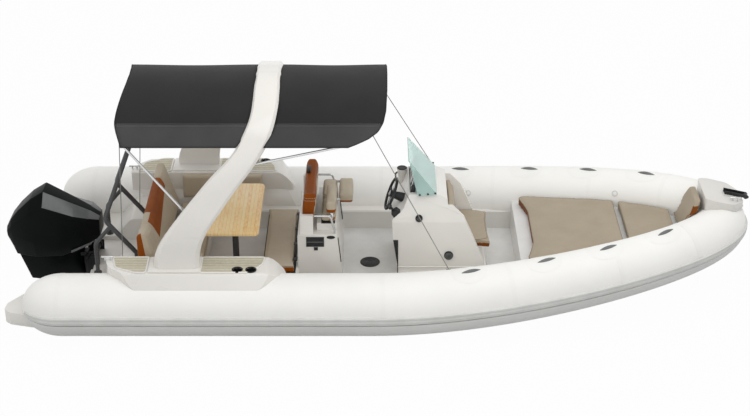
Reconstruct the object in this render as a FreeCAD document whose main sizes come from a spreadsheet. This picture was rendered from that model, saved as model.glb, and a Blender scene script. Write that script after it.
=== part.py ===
"""Rigid inflatable boat, 7.5 m: deep-V hull, inflatable collar, arch with sunshade, outboard.

Frame: X forward, Y to port, Z up, millimetres. The origin is amidships on the waterline.
"""
import FreeCAD, Part
import math
import os
from types import SimpleNamespace

import Sketcher
from FreeCAD import Matrix, Vector

# Driving dimensions: one line each, as alias, value and what it is
SIZES = """
tube_radius 303 radius of the collar tubes aft
tube_spacing 1158 centre plane to tube axis
tube_height 334 waterline to tube axis aft
tube_aft -3080 where the straight tube meets its end cap
cap_length 390 length of the rounded end cap
bow_reach 3590 how far forward the collar axis runs
bow_rise 325 how much the collar axis climbs to the bow
bow_radius 250 radius of the collar at the bow
strake_proud 22 how far the rub strake stands out
chafe_proud 10 how far the chafe band under it stands out
strake_top 5 degrees above the widest line where the strake starts
strake_split -11 degrees of the dark line between strake and chafe band
chafe_low -60 degrees where the chafe band ends
transom -2930 aft face of the transom
floor_height 130 cockpit floor above the waterline
floor_thick 30 thickness of the floor moulding
keel_depth 480 keel below the waterline
keel_rise 840 how much the keel climbs to the stem
chine_half 965 half width at the chine
chine_rise 470 how much the chine climbs to the stem
bow_deck_aft 1500 aft face of the bow deck
bow_deck_height 475 bow deck above the waterline, at its aft face
bow_deck_rise 105 how much the bow deck climbs forward
bow_deck_drop 90 thickness of the bow deck moulding
wall_half 738 half width between the cockpit walls
wall_height 345 top of the cockpit walls
well_front -2370 forward face of the splash well moulding
well_height 455 top of the splash well moulding
well_floor 200 floor of the splash well
well_half 350 half width of the splash well
side_deck_aft -2670 aft end of the side decks
side_deck_fore -875 fore end of the side decks
side_deck_top 730 top of the side decks
side_deck_inner 913 inner edge of the side decks
side_deck_outer 1240 outer edge of the side decks
teak_thick 8 thickness of the teak pads
arch_thick 100 thickness of the arch
arch_crown 2320 top of the arch at the centre plane
shade_crown 2287 top of the sunshade at the centre plane
shade_edge 1908 height of the sunshade along its sides
shade_half 880 half width of the sunshade
shade_thick 8 thickness of the sunshade cloth
shade_fore 120 fore edge of the fore sunshade
shade_aft -2430 aft edge of the aft sunshade
hoop_radius 12.5 radius of the sunshade hoops
shade_gap 3.5 gap between the sunshade and its hoops
stay_radius 4 radius of the stays
mast_half 410 half spacing of the tow mast feet
mast_radius 24 radius of the tow mast tubes
mast_top 1540 top of the tow mast
seat_height 450 top of the lounge cushions
cushion_thick 100 thickness of the lounge cushions
backrest_top 925 top of the aft backrest
table_height 785 top of the table
table_thick 35 thickness of the table
table_aft -1750 aft edge of the table
table_fore -1172 fore edge of the table
table_half 546 half width of the table
table_travel 270 how far the table telescopes down
pedestal_radius 25 radius of the sliding pedestal tube
slide_gap 0.1 running clearance of sliding and turning fits
bench_aft -1162 aft edge of the forward bench
bench_fore -800 fore edge of the forward bench
bench_half 636 half width of the forward bench
bench_top 450 top of the forward bench
bench_thick 95 thickness of the forward bench cushion
hinge_radius 9 radius of the bench hinge barrels
post_aft -785 aft face of the leaning post
post_fore -335 fore face of the leaning post at its foot
post_half 480 half width of the leaning post
post_top 735 top of the leaning post
helm_seat_top 930 top of the helm seat
helm_seat_half 430 half width of the helm seat
bolster_deep 150 depth of a bolster
bolster_thick 105 thickness of a bolster
console_half 420 half width of the console
console_aft 230 aft face of the console at its foot
console_fore 1180 fore end of the console at its foot
console_top 1100 top of the console
console_seat 500 floor of the seat recess in the console
screen_thick 8 thickness of the windscreen
screen_top 1465 top edge of the windscreen
wheel_radius 163 radius of the steering wheel rim
wheel_rake 21 degrees the steering wheel leans back
wheel_x 165 steering wheel centre, forward
wheel_y -130 steering wheel centre, to port
wheel_z 1020 steering wheel centre, up
bow_pad_thick 92 thickness of the bow cushions
bow_pad_split 2560 where the two bow cushions meet
tilt_x -2915 tilt axis of the outboard, forward
tilt_z 290 tilt axis of the outboard, up
steer_x -3030 steering axis of the outboard
prop_z -570 propeller axis
prop_radius 195 radius of the propeller
piece_gap 0.3 gap between pieces that seat on each other
move_gap 6 gap around pieces that swing
"""

doc = FreeCAD.newDocument("InflatableBoat")
sheet = doc.addObject("Spreadsheet::Sheet", "Sizes")
ALIASES = []
for row, line in enumerate(SIZES.strip().splitlines(), 1):
    alias, value, note = line.split(" ", 2)
    sheet.set("A%d" % row, note)
    sheet.set("B%d" % row, value)
    sheet.setAlias("B%d" % row, alias)
    ALIASES.append(alias)
doc.recompute()
size = SimpleNamespace(**{alias: float(sheet.get(alias)) for alias in ALIASES})

UP = Vector(0, 0, 1)
PORT = Vector(0, 1, 0)
FORWARD = Vector(1, 0, 0)
NODES = []


# Drawing helpers


def outline(points, bend=0.0, closed=True):
    """A wire through the points, each corner rounded by an arc of radius bend where it fits."""
    count = len(points)
    entry, leave, arcs = [None] * count, [None] * count, [None] * count
    for i, corner in enumerate(points):
        entry[i] = leave[i] = corner
        radius = bend[i] if isinstance(bend, (list, tuple)) else bend
        if radius <= 0 or (not closed and i in (0, count - 1)):
            continue
        before, after = points[i - 1], points[(i + 1) % count]
        inward, outward = (corner - before), (after - corner)
        shortest = min(inward.Length, outward.Length)
        inward.normalize()
        outward.normalize()
        turn = inward.getAngle(outward)
        if turn < 0.01:
            continue
        cut = min(radius * math.tan(turn / 2), 0.48 * shortest)
        radius = cut / math.tan(turn / 2)
        entry[i] = corner - inward * cut
        leave[i] = corner + outward * cut
        middle = (outward - inward).normalize()
        middle = corner + middle * (radius / math.cos(turn / 2) - radius)
        arcs[i] = Part.Arc(entry[i], middle, leave[i]).toShape()
    edges = []
    for i in range(count):
        if arcs[i]:
            edges.append(arcs[i])
        if closed or i < count - 1:
            start, end = leave[i], entry[(i + 1) % count]
            if (end - start).Length > 0.01:
                edges.append(Part.LineSegment(start, end).toShape())
    return Part.Wire(edges)


def in_plan(points, height):
    return [Vector(x, y, height) for x, y in points]


def in_side(points, y):
    return [Vector(x, y, z) for x, z in points]


def in_end(points, x):
    return [Vector(x, y, z) for y, z in points]


def slab(points, along, bend=0.0):
    """A solid drawn by a flat outline and a straight move."""
    return Part.Face(outline(points, bend)).extrude(along)


def across(points, half, bend=0.0):
    """A side outline carried from half to starboard to half to port."""
    return slab(in_side(points, -half), PORT * (2 * half), bend)


def brick(low, high):
    low, high = Vector(*low), Vector(*high)
    span = high - low
    return Part.makeBox(span.x, span.y, span.z, low)


def rod(points, radius, bend=0.0):
    """A round bar along straight runs joined by arcs."""
    path = outline(points, bend, closed=False)
    start = (points[1] - points[0]).normalize()
    ring = Part.Wire(Part.makeCircle(radius, points[0], start))
    return path.makePipeShell([ring], True, False)


def mirrored(shape):
    return shape.mirror(Vector(0, 0, 0), PORT)


def largest(shape):
    """The main solid of a cut, without what the cut left beyond it."""
    return sorted(shape.Solids, key=lambda each: each.Volume)[-1]


def both(shape):
    """A piece and its twin on the other side, which do not touch."""
    return Part.makeCompound([shape, mirrored(shape)])


def fused(shapes):
    whole = shapes[0].multiFuse(shapes[1:]) if len(shapes) > 1 else shapes[0]
    return whole.removeSplitter()


def piece(label, shape):
    """A sub-part whose free form is drawn with Part's own functions."""
    item = doc.addObject("Part::Feature", label)
    item.Label = label
    if shape.ShapeType == "Compound" and len(shape.Solids) == 1:
        shape = shape.Solids[0]
    item.Shape = shape
    NODES.append(item)
    return item


def sketch_on(body, role, name, corners):
    """A sketch whose every corner is tied to the sheet by a pair of expressions."""
    plane = [each for each in body.Origin.OriginFeatures if each.Role == role][0]
    sketch = body.newObject("Sketcher::SketchObject", name)
    sketch.AttachmentSupport = [(plane, "")]
    sketch.MapMode = "FlatFace"
    places = [[present_value(text) for text in corner] for corner in corners]
    count = len(corners)
    for i in range(count):
        start, end = places[i], places[(i + 1) % count]
        sketch.addGeometry(Part.LineSegment(Vector(*start, 0), Vector(*end, 0)))
    for i in range(count):
        sketch.addConstraint(Sketcher.Constraint("Coincident", i, 2, (i + 1) % count, 1))
    for i in range(count):
        for kind, place, text in zip(("DistanceX", "DistanceY"), places[i], corners[i]):
            index = sketch.addConstraint(Sketcher.Constraint(kind, -1, 1, i, 1, place))
            sketch.setExpression("Constraints[%d]" % index, text)
    return sketch


def present_value(text):
    """The present value of an expression in the sheet's sizes."""
    return float(sheet.evalExpression(text.replace("Sizes.", "")))


def padded(label, role, corners, length, symmetric=True, offset=None, fillet=0.0, along=None):
    """A PartDesign body: one tied sketch, padded, with its long edges rounded."""
    body = doc.addObject("PartDesign::Body", label)
    body.Label = label
    sketch = sketch_on(body, role, label + "_outline", corners)
    if offset:
        sketch.setExpression("AttachmentOffset.Base.z", offset)
    pad = body.newObject("PartDesign::Pad", label + "_pad")
    pad.Profile = sketch
    pad.Midplane = symmetric
    pad.setExpression("Length", length)
    doc.recompute()
    if fillet:
        names = []
        for index, edge in enumerate(pad.Shape.Edges, 1):
            if len(edge.Vertexes) == 2:
                line = edge.Vertexes[1].Point - edge.Vertexes[0].Point
                if along is None or abs(line.normalize().dot(along)) > 0.99:
                    names.append("Edge%d" % index)
        rounding = body.newObject("PartDesign::Fillet", label + "_rounding")
        rounding.Base = (pad, names)
        rounding.Radius = fillet
    doc.recompute()
    NODES.append(body)
    return body


# Collar


def collar(share):
    """Centre, outward and up directions and radius of the port tube, at a share of its bend."""
    centre = collar_centre(share)
    step = 0.002
    before, after = collar_centre(max(share - step, 0)), collar_centre(min(share + step, 1))
    if share >= 1:
        run = Vector(0, -1, 0)
    elif share <= 0:
        run = FORWARD
    else:
        run = (after - before).normalize()
    outward = UP.cross(run).normalize()
    upward = run.cross(outward).normalize()
    radius = size.tube_radius - (size.tube_radius - size.bow_radius) * share ** 2
    return centre, outward, upward, radius


def collar_centre(share):
    """The bend's axis: an ellipse-like plan line that climbs towards the bow."""
    climb = 1.86 * share ** 2 - 0.86 * share ** 3
    return Vector(size.bow_reach * share,
                  size.tube_spacing * math.sqrt(max(1 - share ** 1.72, 0)),
                  size.tube_height + size.bow_rise * climb)


HULL_SHARES = (0, 0.17, 0.34, 0.5, 0.64, 0.77, 0.87, 0.94, 0.985)
SHARES = (0, 0.13, 0.26, 0.39, 0.51, 0.62, 0.72, 0.80, 0.87, 0.925, 0.965, 0.99, 1.0)


def collar_at(x):
    """The collar frame at a distance forward of the origin, on its bent part."""
    return collar(x / size.bow_reach)


def tube_ring(centre, outward, upward, radius):
    """A round section whose seam always lies outward, so that the loft doesn't twist."""
    ring = Part.makeCircle(radius)
    ring.Placement = FreeCAD.Placement(centre, FreeCAD.Rotation(outward, upward, outward.cross(upward)))
    return Part.Wire(ring)


def make_tube(room=0.0):
    """The port half: rounded end cap, straight run and tapered bend to the centre plane."""
    axis = Vector(0, size.tube_spacing, size.tube_height)
    aft = Vector(size.tube_aft, axis.y, axis.z)
    rings = []
    for share in SHARES:
        centre, outward, upward, radius = collar(share)
        rings.append(tube_ring(centre, outward, upward, radius + room))
    bend = Part.makeLoft(rings, True, False)
    straight = Part.makeCylinder(size.tube_radius + room, -size.tube_aft, aft, FORWARD)
    dome = Part.makeSphere(1.0, Vector(0, 0, 0), FORWARD)
    stretch = Matrix()
    stretch.scale(size.cap_length + room, size.tube_radius + room, size.tube_radius + room)
    dome = dome.transformGeometry(stretch)
    dome.translate(aft)
    reach = size.cap_length + size.tube_radius
    keep = brick((aft.x - reach, aft.y - reach, aft.z - reach), (aft.x, aft.y + reach, aft.z + reach))
    return straight.fuse([dome.common(keep), bend]).removeSplitter()


def band(centre, outward, upward, inner, layers):
    """A closed ring sector; layers are (from degrees, to degrees, radius) seen from below up."""
    def spot(degrees, radius):
        angle = math.radians(degrees)
        return centre + (outward * math.cos(angle) + upward * math.sin(angle)) * radius

    edges = []
    last = None
    for low, high, radius in layers:
        start, end = spot(low, radius), spot(high, radius)
        if last:
            edges.append(Part.LineSegment(last, start).toShape())
        edges.append(Part.Arc(start, spot((low + high) / 2, radius), end).toShape())
        last = end
    low, high = layers[0][0], layers[-1][1]
    edges.append(Part.LineSegment(last, spot(high, inner)).toShape())
    edges.append(Part.Arc(spot(high, inner), spot((low + high) / 2, inner), spot(low, inner)).toShape())
    edges.append(Part.LineSegment(spot(low, inner), spot(low, layers[0][2])).toShape())
    return Part.Wire(edges)


def make_strake():
    """Rub strake, dark line and chafe band, from the end cap to the centre plane."""
    def section(centre, outward, upward, radius):
        split = size.strake_split
        return band(centre, outward, upward, radius + size.piece_gap, [
            (size.chafe_low, split - 1, radius + size.chafe_proud),
            (split - 1, split + 1, radius + 3),
            (split + 1, size.strake_top, radius + size.strake_proud)])

    axis = Vector(0, size.tube_spacing, size.tube_height)
    wires = []
    for back in (0.9, 0.75, 0.5, 0.25):
        radius = size.tube_radius * math.sqrt(1 - back ** 2)
        centre = Vector(size.tube_aft - size.cap_length * back, axis.y, axis.z)
        wires.append(section(centre, PORT, UP, radius))
    ends = [section(Vector(x, axis.y, axis.z), PORT, UP, size.tube_radius) for x in (size.tube_aft, 0)]
    wrap = Part.makeLoft(wires + ends[:1], True, False)
    straight = Part.makeLoft(ends, True, True)
    bend = Part.makeLoft([section(*collar(share)) for share in SHARES], True, False)
    return straight.fuse([wrap, bend])


def make_handle(x):
    """A low lens-shaped grab pad on the crown of the port tube."""
    centre, outward, upward, radius = collar_at(x)
    run = outward.cross(upward).normalize()
    lens = Part.makeSphere(1.0)
    shape = Matrix()
    shape.scale(100, 34, 26)
    lens = lens.transformGeometry(shape)
    turn = math.degrees(math.atan2(run.y, run.x))
    lens.rotate(Vector(0, 0, 0), UP, turn)
    lens.translate(centre + UP * (radius + 4))
    return lens


tube_port = make_tube()
tube_starboard = mirrored(tube_port)
tube_room = make_tube(size.piece_gap)
tubes = [tube_room, mirrored(tube_room)]
piece("tube_port", tube_port)
piece("tube_starboard", tube_starboard)
piece("rub_strake", both(largest(make_strake().cut(tube_room))))
HANDLE_X = (938, 1683, 2302, 2895)
handles = [make_handle(x).cut(tube_room) for x in HANDLE_X]
piece("tube_handles", Part.makeCompound(handles + [mirrored(each) for each in handles]))


# Hull and deck mouldings


def hull_section(share):
    """Deep-V section at a share of the run from midships to the stem."""
    x = (size.bow_reach - 20) * share
    low = size.keel_rise * share ** 5 - size.keel_depth
    half = size.chine_half * max(1 - share ** 1.9, 0) ** 0.55
    chine = size.chine_rise * share ** 2
    head = size.bow_deck_height - size.bow_deck_drop + 150 * share ** 6
    side = [(0, low), (half * 0.97, chine - 12), (half, chine), (half * 0.985, head)]
    return outline(in_end(side + [(-y, z) for y, z in reversed(side[1:])], x))


def make_hull():
    """Straight sections aft, sections closing to the stem forward, cut by the collar."""
    fore = Part.makeLoft([hull_section(share) for share in HULL_SHARES], True, False)
    run = Part.Face(hull_section(0)).extrude(FORWARD * size.transom)
    cockpit = brick((size.transom - 50, -2000, size.floor_height - size.floor_thick),
                    (size.bow_deck_aft - 10, 2000, 1500))
    return largest(run.fuse(fore).cut([cockpit] + tubes))


hull_shape = make_hull()
piece("hull", hull_shape)


def bow_plan(offset, start, end):
    """Plan points that follow the collar axis, moved towards the centre plane by offset."""
    points = []
    steps = 6
    for i in range(steps + 1):
        x = start + (end - start) * i / steps
        points.append((x, collar_at(x)[0].y - offset))
    return points + [(x, -y) for x, y in reversed(points)]


def make_liner():
    """Cockpit floor, side walls and bow deck, seated on the hull and against the tubes."""
    low = size.floor_height - size.floor_thick
    half = size.wall_half + 130
    floor = brick((size.well_front, -half, low), (size.bow_deck_aft + 40, half, size.floor_height))
    wall = [(size.wall_half, low), (size.wall_half, size.wall_height - 12),
            (size.wall_half + 12, size.wall_height), (half + 140, size.wall_height), (half, low)]
    walls = slab(in_end(wall, size.well_front), FORWARD * (size.bow_deck_aft + 40 - size.well_front))
    low = size.bow_deck_height - size.bow_deck_drop
    fore = size.bow_reach - 260
    half = collar_at(size.bow_deck_aft)[0].y - 60
    deck = slab(in_plan(bow_plan(30, size.bow_deck_aft, fore), low), UP * 400, 30)
    rise = size.bow_deck_rise
    top = size.bow_deck_height
    deck = deck.common(across([(size.bow_deck_aft - 100, low - 50), (fore + 100, low - 50),
                               (fore + 100, top + rise), (size.bow_deck_aft, top),
                               (size.bow_deck_aft - 100, top)], size.tube_spacing))
    apron = slab(in_plan([(size.bow_deck_aft - 20, -half), (size.bow_deck_aft + 40, -half),
                          (size.bow_deck_aft + 40, half), (size.bow_deck_aft - 20, half)],
                         size.floor_height - 1), UP * (top - size.floor_height + 1))
    whole = floor.fuse([walls, mirrored(walls), apron, deck])
    return largest(whole.cut(tubes + [hull_shape]))


liner_shape = make_liner()
piece("deck_liner", liner_shape)


def make_splash_well():
    """Raised sides for the tow mast with a low well between them, open over the transom."""
    low = size.floor_height - size.floor_thick
    aft = size.transom
    profile = [(aft, low), (size.well_front - size.piece_gap, low),
               (size.well_front - size.piece_gap, size.well_height),
               (size.well_front - 230, size.well_height), (aft + 150, size.well_floor + 50),
               (aft, size.well_floor + 50)]
    block = across(profile, size.tube_spacing, [0, 0, 20, 60, 60, 0])
    well = brick((aft - 10, -size.well_half, size.well_floor), (size.well_front - 40, size.well_half, 1000))
    return largest(block.cut([well] + tubes))


piece("splash_well", make_splash_well())


def make_platform():
    """The port swim platform: a pointed step aft of the tube, beside the engine."""
    aft = size.transom
    plan = [(aft, 430), (aft - 540, 500), (aft - 780, 830), (aft - 790, 950), (aft - 720, 1010),
            (aft - 400, 1090), (aft, 1090)]
    step = slab(in_plan(plan, -10), UP * 150, [0, 60, 60, 60, 40, 40, 0])
    return step.cut(tube_room)


piece("swim_platforms", both(make_platform()))


def make_side_deck():
    """The port side deck: a saddle over the tube with cut corners and a rounded shoulder."""
    inner, outer, top = size.side_deck_inner, size.side_deck_outer, size.side_deck_top
    section = [(inner, top), (outer, top), (outer + 85, top - 145), (outer + 40, top - 240),
               (inner + 60, top - 240), (inner - 6, top - 215)]
    aft, fore = size.side_deck_aft, size.side_deck_fore
    saddle = slab(in_end(section, aft - 10), FORWARD * (fore - aft + 20), [18, 40, 0, 0, 0, 0])
    plan = [(aft, inner - 20), (fore, inner - 20), (fore - 20, inner + 160), (fore - 230, outer + 100),
            (aft + 330, outer + 100), (aft + 60, inner + 190)]
    keep = slab(in_plan(plan, 300), UP * 600, [40, 60, 140, 260, 260, 140])
    return largest(saddle.common(keep).cut(tube_room))


side_deck = make_side_deck()
CUP_X = (-1338, -1207)
CUP_Y = 1175
CUP_RADIUS = 48
for cup_x in CUP_X:
    side_deck = side_deck.cut(Part.makeCylinder(CUP_RADIUS, 80, Vector(cup_x, CUP_Y, size.side_deck_top - 60)))
piece("side_deck_port", side_deck)
piece("side_deck_starboard", mirrored(side_deck))


def make_teak():
    """Two pads on the port side deck; the fore one is cut out round the cup holders."""
    inner, outer = size.side_deck_inner + 20, size.side_deck_outer - 12
    low = size.side_deck_top + size.piece_gap
    aft, fore = size.side_deck_aft, size.side_deck_fore
    after = [(aft + 90, inner), (aft + 445, inner), (aft + 445, outer), (aft + 340, outer),
             (aft + 140, inner + 200)]
    forward = [(aft + 975, inner), (fore - 205, inner), (fore - 225, inner + 130), (fore - 330, outer),
               (aft + 975, outer)]
    pads = [slab(in_plan(after, low), UP * size.teak_thick, [20, 5, 5, 80, 60]),
            slab(in_plan(forward, low), UP * size.teak_thick, [5, 20, 60, 90, 5])]
    for cup_x in CUP_X:
        pads[1] = pads[1].cut(Part.makeCylinder(CUP_RADIUS + 7, 60, Vector(cup_x, CUP_Y, low - 20)))
    return Part.makeCompound(pads)


piece("teak_pads", both(make_teak()))


def make_cleat(x, y, z, length=150):
    """A two-horned cleat, horns along the boat."""
    bar = rod([Vector(x - length / 2, y, z + 38), Vector(x + length / 2, y, z + 38)], 9)
    legs = [Part.makeCylinder(9, 34, Vector(x + side * 25, y, z)) for side in (-1, 1)]
    return fused([bar] + legs)


def make_fittings():
    """Aft cleats, cup holder rims and the drain cover of the floor."""
    top = size.side_deck_top + size.piece_gap
    parts = [make_cleat(size.side_deck_aft + 45, size.side_deck_inner + 70, top, 120)]
    for cup_x in CUP_X:
        rim = Part.makeCylinder(CUP_RADIUS + 6.5, 10, Vector(cup_x, CUP_Y, top))
        parts.append(rim.cut(Part.makeCylinder(CUP_RADIUS, 30, Vector(cup_x, CUP_Y, top - 10))))
    twins = parts + [mirrored(each) for each in parts]
    drain = Part.makeCylinder(104, 6, Vector(-53, 0, size.floor_height + size.piece_gap))
    return Part.makeCompound(twins + [drain])


piece("deck_fittings", make_fittings())


# Arch and sunshade

# Stations of the arch: forward, sideways and up place of its outer face, and its width
ARCH = [(-1925, 1180, size.side_deck_top + size.piece_gap, 436), (-1863, 1170, 1030, 403), (-1770, 1150, 1190, 380),
        (-1587, 1080, 1430, 358), (-1465, 1030, 1580, 345), (-1349, 980, 1710, 325),
        (-1254, 930, 1820, 290), (-1157, 850, 1965, 271), (-1091, 720, 2105, 256), (-1060, 500, 2215, 253)]


def arch_section(x, y, z, width, across_by, up_by):
    """A lens-edged rectangle; (across_by, up_by) is the outward direction in the end view."""
    out = Vector(0, across_by, up_by)
    outer = Vector(x, y, z)
    inner = outer - out * size.arch_thick
    reach = FORWARD * (width / 2)
    corners = [outer - reach * 0.8, outer + reach * 0.8, outer + reach - out * 30, inner + reach,
               inner - reach, outer - reach - out * 30]
    return outline(corners)


def make_arch():
    """The port half lofted through its stations, joined to its twin at the centre plane."""
    crown = (ARCH[-1][0] + 6, 0, size.arch_crown, 250)
    middle = (ARCH[-1][0] + 4, 250, size.arch_crown - 28, 250)
    places = ARCH + [middle, crown]
    wires = []
    for i, (x, y, z, width) in enumerate(places):
        before = places[max(i - 1, 0)]
        after = places[min(i + 1, len(places) - 1)]
        if i == len(places) - 1:
            out = (0.0, 1.0)
        elif i == 0:
            out = (1.0, 0.0)
        else:
            run_y, run_z = after[1] - before[1], after[2] - before[2]
            length = math.hypot(run_y, run_z)
            out = (run_z / length, -run_y / length)
        wires.append(arch_section(x, y, z, width, *out))
    half = Part.makeLoft(wires, True, False)
    return half


arch_half = make_arch()
arch_shape = arch_half.fuse(mirrored(arch_half)).removeSplitter()
piece("arch", arch_shape)


def shade_radius():
    """Radius of the sunshade's upper face, an arc across the boat."""
    sag = size.shade_crown - size.shade_edge
    return (size.shade_half ** 2 + sag ** 2) / (2 * sag)


def shade_height(y, drop=0.0):
    """Height of the sunshade's upper face, or of an arc below it by drop."""
    radius = shade_radius()
    return size.shade_crown - radius + math.sqrt((radius - drop) ** 2 - y ** 2)


def under_shade(x, y):
    """Where a hoop's axis runs, measured in from the cloth square to it."""
    sink = size.shade_thick + size.hoop_radius + size.shade_gap
    y = y * (1 - sink / shade_radius())
    return Vector(x, y, shade_height(y, sink))


def shade_sheet(plan, bend):
    """A curved sheet over the whole width, trimmed by a plan outline."""
    half = size.shade_half
    upper, lower = [[Vector(0, y, shade_height(y, drop)) for y in (-half, 0, half)]
                    for drop in (0.0, size.shade_thick)]
    edges = [Part.Arc(*upper).toShape(), Part.LineSegment(upper[2], lower[2]).toShape(),
             Part.Arc(*reversed(lower)).toShape(), Part.LineSegment(lower[0], upper[0]).toShape()]
    reach = 3000
    face = Part.Face(Part.Wire(edges))
    face.translate(FORWARD * -reach)
    sheet_shape = face.extrude(FORWARD * (2 * reach))
    return sheet_shape.common(slab(in_plan(plan, 1500), UP * 1200, bend))


def make_shades():
    half = size.shade_half + 5
    middle = ARCH[-1][0]
    fore, aft = size.shade_fore, size.shade_aft
    front = [(middle, -half), (fore - 420, -half), (fore - 70, -800), (fore - 12, -560), (fore, 0),
             (fore - 12, 560), (fore - 70, 800), (fore - 420, half), (middle, half)]
    back = [(middle, half), (aft + 10, half), (aft - 72, 660), (aft, 0), (aft - 72, -660),
            (aft + 10, -half), (middle, -half)]
    cut = arch_shape
    shades = []
    for plan, bend, ahead in ((front, [0, 300, 200, 300, 2500, 300, 200, 300, 0], 1), (back, [0, 50, 160, 1500, 160, 50, 0], -1)):
        sheet_shape = shade_sheet(plan, bend).cut(cut)
        solids = sorted(sheet_shape.Solids, key=lambda each: ahead * each.CenterOfMass.x)
        shades.append(solids[-1])
    return shades


shade_fore, shade_aft = make_shades()
piece("canopy_fore", shade_fore)
piece("canopy_aft", shade_aft)


def make_hoop(hinge, reach, knee):
    """A bent tube from one hinge, out along the sunshade's side and under its free edge."""
    half = [Vector(*hinge)] + [under_shade(x, y) for x, y in knee]
    points = half + [Vector(each.x, -each.y, each.z) for each in reversed(half)]
    boss = rod([Vector(*hinge), Vector(hinge[0], reach, hinge[2])], size.hoop_radius * 1.5)
    return fused([rod(points, size.hoop_radius, 160), boss, mirrored(boss)])


FORE_KNEES = [(-270, 858), (60, 700), (105, 330)]
AFT_KNEES = [(-2400, 866), (-2500, 700), (-2440, 330)]
piece("canopy_hoop_fore", make_hoop((-1330, 850, 1680), 884, FORE_KNEES).cut(arch_shape))
piece("canopy_hoop_aft", make_hoop((-1790, 960, 1190), 1035, AFT_KNEES).cut(arch_shape))


def on_hoop(start, end, share):
    """A point on a straight run of a hoop's axis and the run's direction."""
    ends = [under_shade(x, y) for x, y in (start, end)]
    return ends[0] + (ends[1] - ends[0]) * share, (ends[1] - ends[0]).normalize()


def make_stay(hook, along, foot, away):
    """A taut strap from a ring round a hoop to a round patch; away is the patch's normal."""
    inner, outer = size.hoop_radius + size.piece_gap, size.hoop_radius + 1.8
    ring = Part.makeCylinder(outer, 26, hook - along * 13, along)
    bore = Part.makeCylinder(inner, 60, hook - along * 30, along)
    patch = Part.makeCylinder(26, 5, foot, away)
    strap = rod([hook, foot + away * 4], size.stay_radius)
    return fused([strap, ring, patch]).cut(bore)


def collar_patch(x, degrees):
    """A place on the collar's surface and its normal, at an angle above the outward line."""
    centre, outward, upward, radius = collar_at(x)
    angle = math.radians(degrees)
    away = (outward * math.cos(angle) + upward * math.sin(angle)).normalize()
    return centre + away * (radius - 1), away


hook, along = on_hoop(FORE_KNEES[0], FORE_KNEES[1], 0.7)
piece("stays_fore", both(make_stay(hook, along, *collar_patch(755, 118)).cut(tube_room)))
hook, along = on_hoop(AFT_KNEES[0], AFT_KNEES[1], 0.5)
well_top = Vector(-2545, 640, size.well_height + size.piece_gap)
piece("stays_aft", both(make_stay(hook, along, well_top, UP)))


# Tow mast


def make_mast():
    """An A-frame of one bent tube with a raked strut to each foot plate aft."""
    y, top = size.mast_half, size.mast_top
    foot = size.well_height + size.piece_gap
    front = Vector(size.well_front - 50, y, foot + 6)
    knee = Vector(size.well_front - 365, y, foot + 410)
    peak = Vector(size.well_front - 105, 70, top)
    loop = [front, knee, peak] + [Vector(each.x, -each.y, each.z) for each in (peak, knee, front)]
    frame = rod(loop, size.mast_radius, 90)
    low = size.well_floor + 50 + size.piece_gap
    strut = rod([Vector(size.transom + 80, y, low + 6), Vector(size.transom + 80, y, low + 340),
                 Vector(knee.x + 60, y, knee.z - 70)], size.mast_radius * 0.85, 90)
    plates = [Part.makeCylinder(40, 8, Vector(front.x, y, foot)),
              Part.makeCylinder(40, 8, Vector(size.transom + 80, y, low))]
    side = [strut] + plates
    below = brick((front.x - 200, -2 * y, foot - 100), (front.x + 200, 2 * y, foot))
    return fused([frame] + side + [mirrored(each) for each in side]).cut(below)


piece("tow_mast", make_mast())


# Lounge

padded("lounge_base", "XZ_Plane",
       [("Sizes.well_front + Sizes.piece_gap", "Sizes.floor_height + Sizes.piece_gap"),
        ("Sizes.well_front + 620", "Sizes.floor_height + Sizes.piece_gap"),
        ("Sizes.well_front + 640", "Sizes.seat_height - Sizes.cushion_thick"),
        ("Sizes.well_front + Sizes.piece_gap", "Sizes.seat_height - Sizes.cushion_thick")],
       "2 * (Sizes.wall_half - 3)")


def make_lounge_cushions():
    """The aft seat cushion over the whole width of the lounge."""
    low = size.seat_height - size.cushion_thick + size.piece_gap
    aft = size.well_front + 250
    half = size.wall_half + 40
    rear = [(aft, -half), (aft + 395, -half), (aft + 395, half), (aft, half)]
    return slab(in_plan(rear, low), UP * (size.cushion_thick - 1), 30)


piece("lounge_cushions", make_lounge_cushions())


def make_backrest():
    """The aft backrest: a leaning wedge over the whole width of the lounge."""
    aft = size.well_front + size.piece_gap + 4
    low = size.seat_height - size.cushion_thick + size.piece_gap
    top = size.backrest_top
    side = [(aft, low), (aft, top - 40), (aft + 20, top), (aft + 100, top), (aft + 235, low + 110), (aft + 235, low)]
    return across(side, size.side_deck_inner - 95, [0, 30, 20, 30, 20, 0]).cut(tubes)


piece("aft_backrest", make_backrest())


def deck_face(height):
    """How far out a pad may reach at a height before it meets the side deck's leaning face."""
    return size.side_deck_inner - (size.side_deck_top - height) * 6 / 215 - size.piece_gap


def make_side_backrests():
    """Thin pads against the inner faces of the side decks; the starboard one is short."""
    low, top = size.seat_height + 2, size.side_deck_top + 8
    section = [(deck_face(top) - 104, low), (deck_face(low) - 45, low), (deck_face(low + 70), low + 70),
               (deck_face(top), top), (deck_face(top) - 89, top)]
    start = size.well_front + 260
    long_pad = slab(in_end(section, start), FORWARD * 900, [10, 0, 0, 20, 20])
    short_pad = slab(in_end(section, start), FORWARD * 420, [10, 0, 0, 20, 20])
    return Part.makeCompound([long_pad.cut(tube_room), mirrored(short_pad.cut(tube_room))])


piece("side_backrests", make_side_backrests())

padded("table_top", "XY_Plane",
       [("Sizes.table_aft", "-Sizes.table_half"), ("Sizes.table_fore", "-Sizes.table_half"),
        ("Sizes.table_fore", "Sizes.table_half"), ("Sizes.table_aft", "Sizes.table_half")],
       "Sizes.table_thick", symmetric=False, offset="Sizes.table_height - Sizes.table_thick",
       fillet=60, along=UP)


def pedestal_x():
    return (size.table_aft + size.table_fore) / 2


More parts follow.
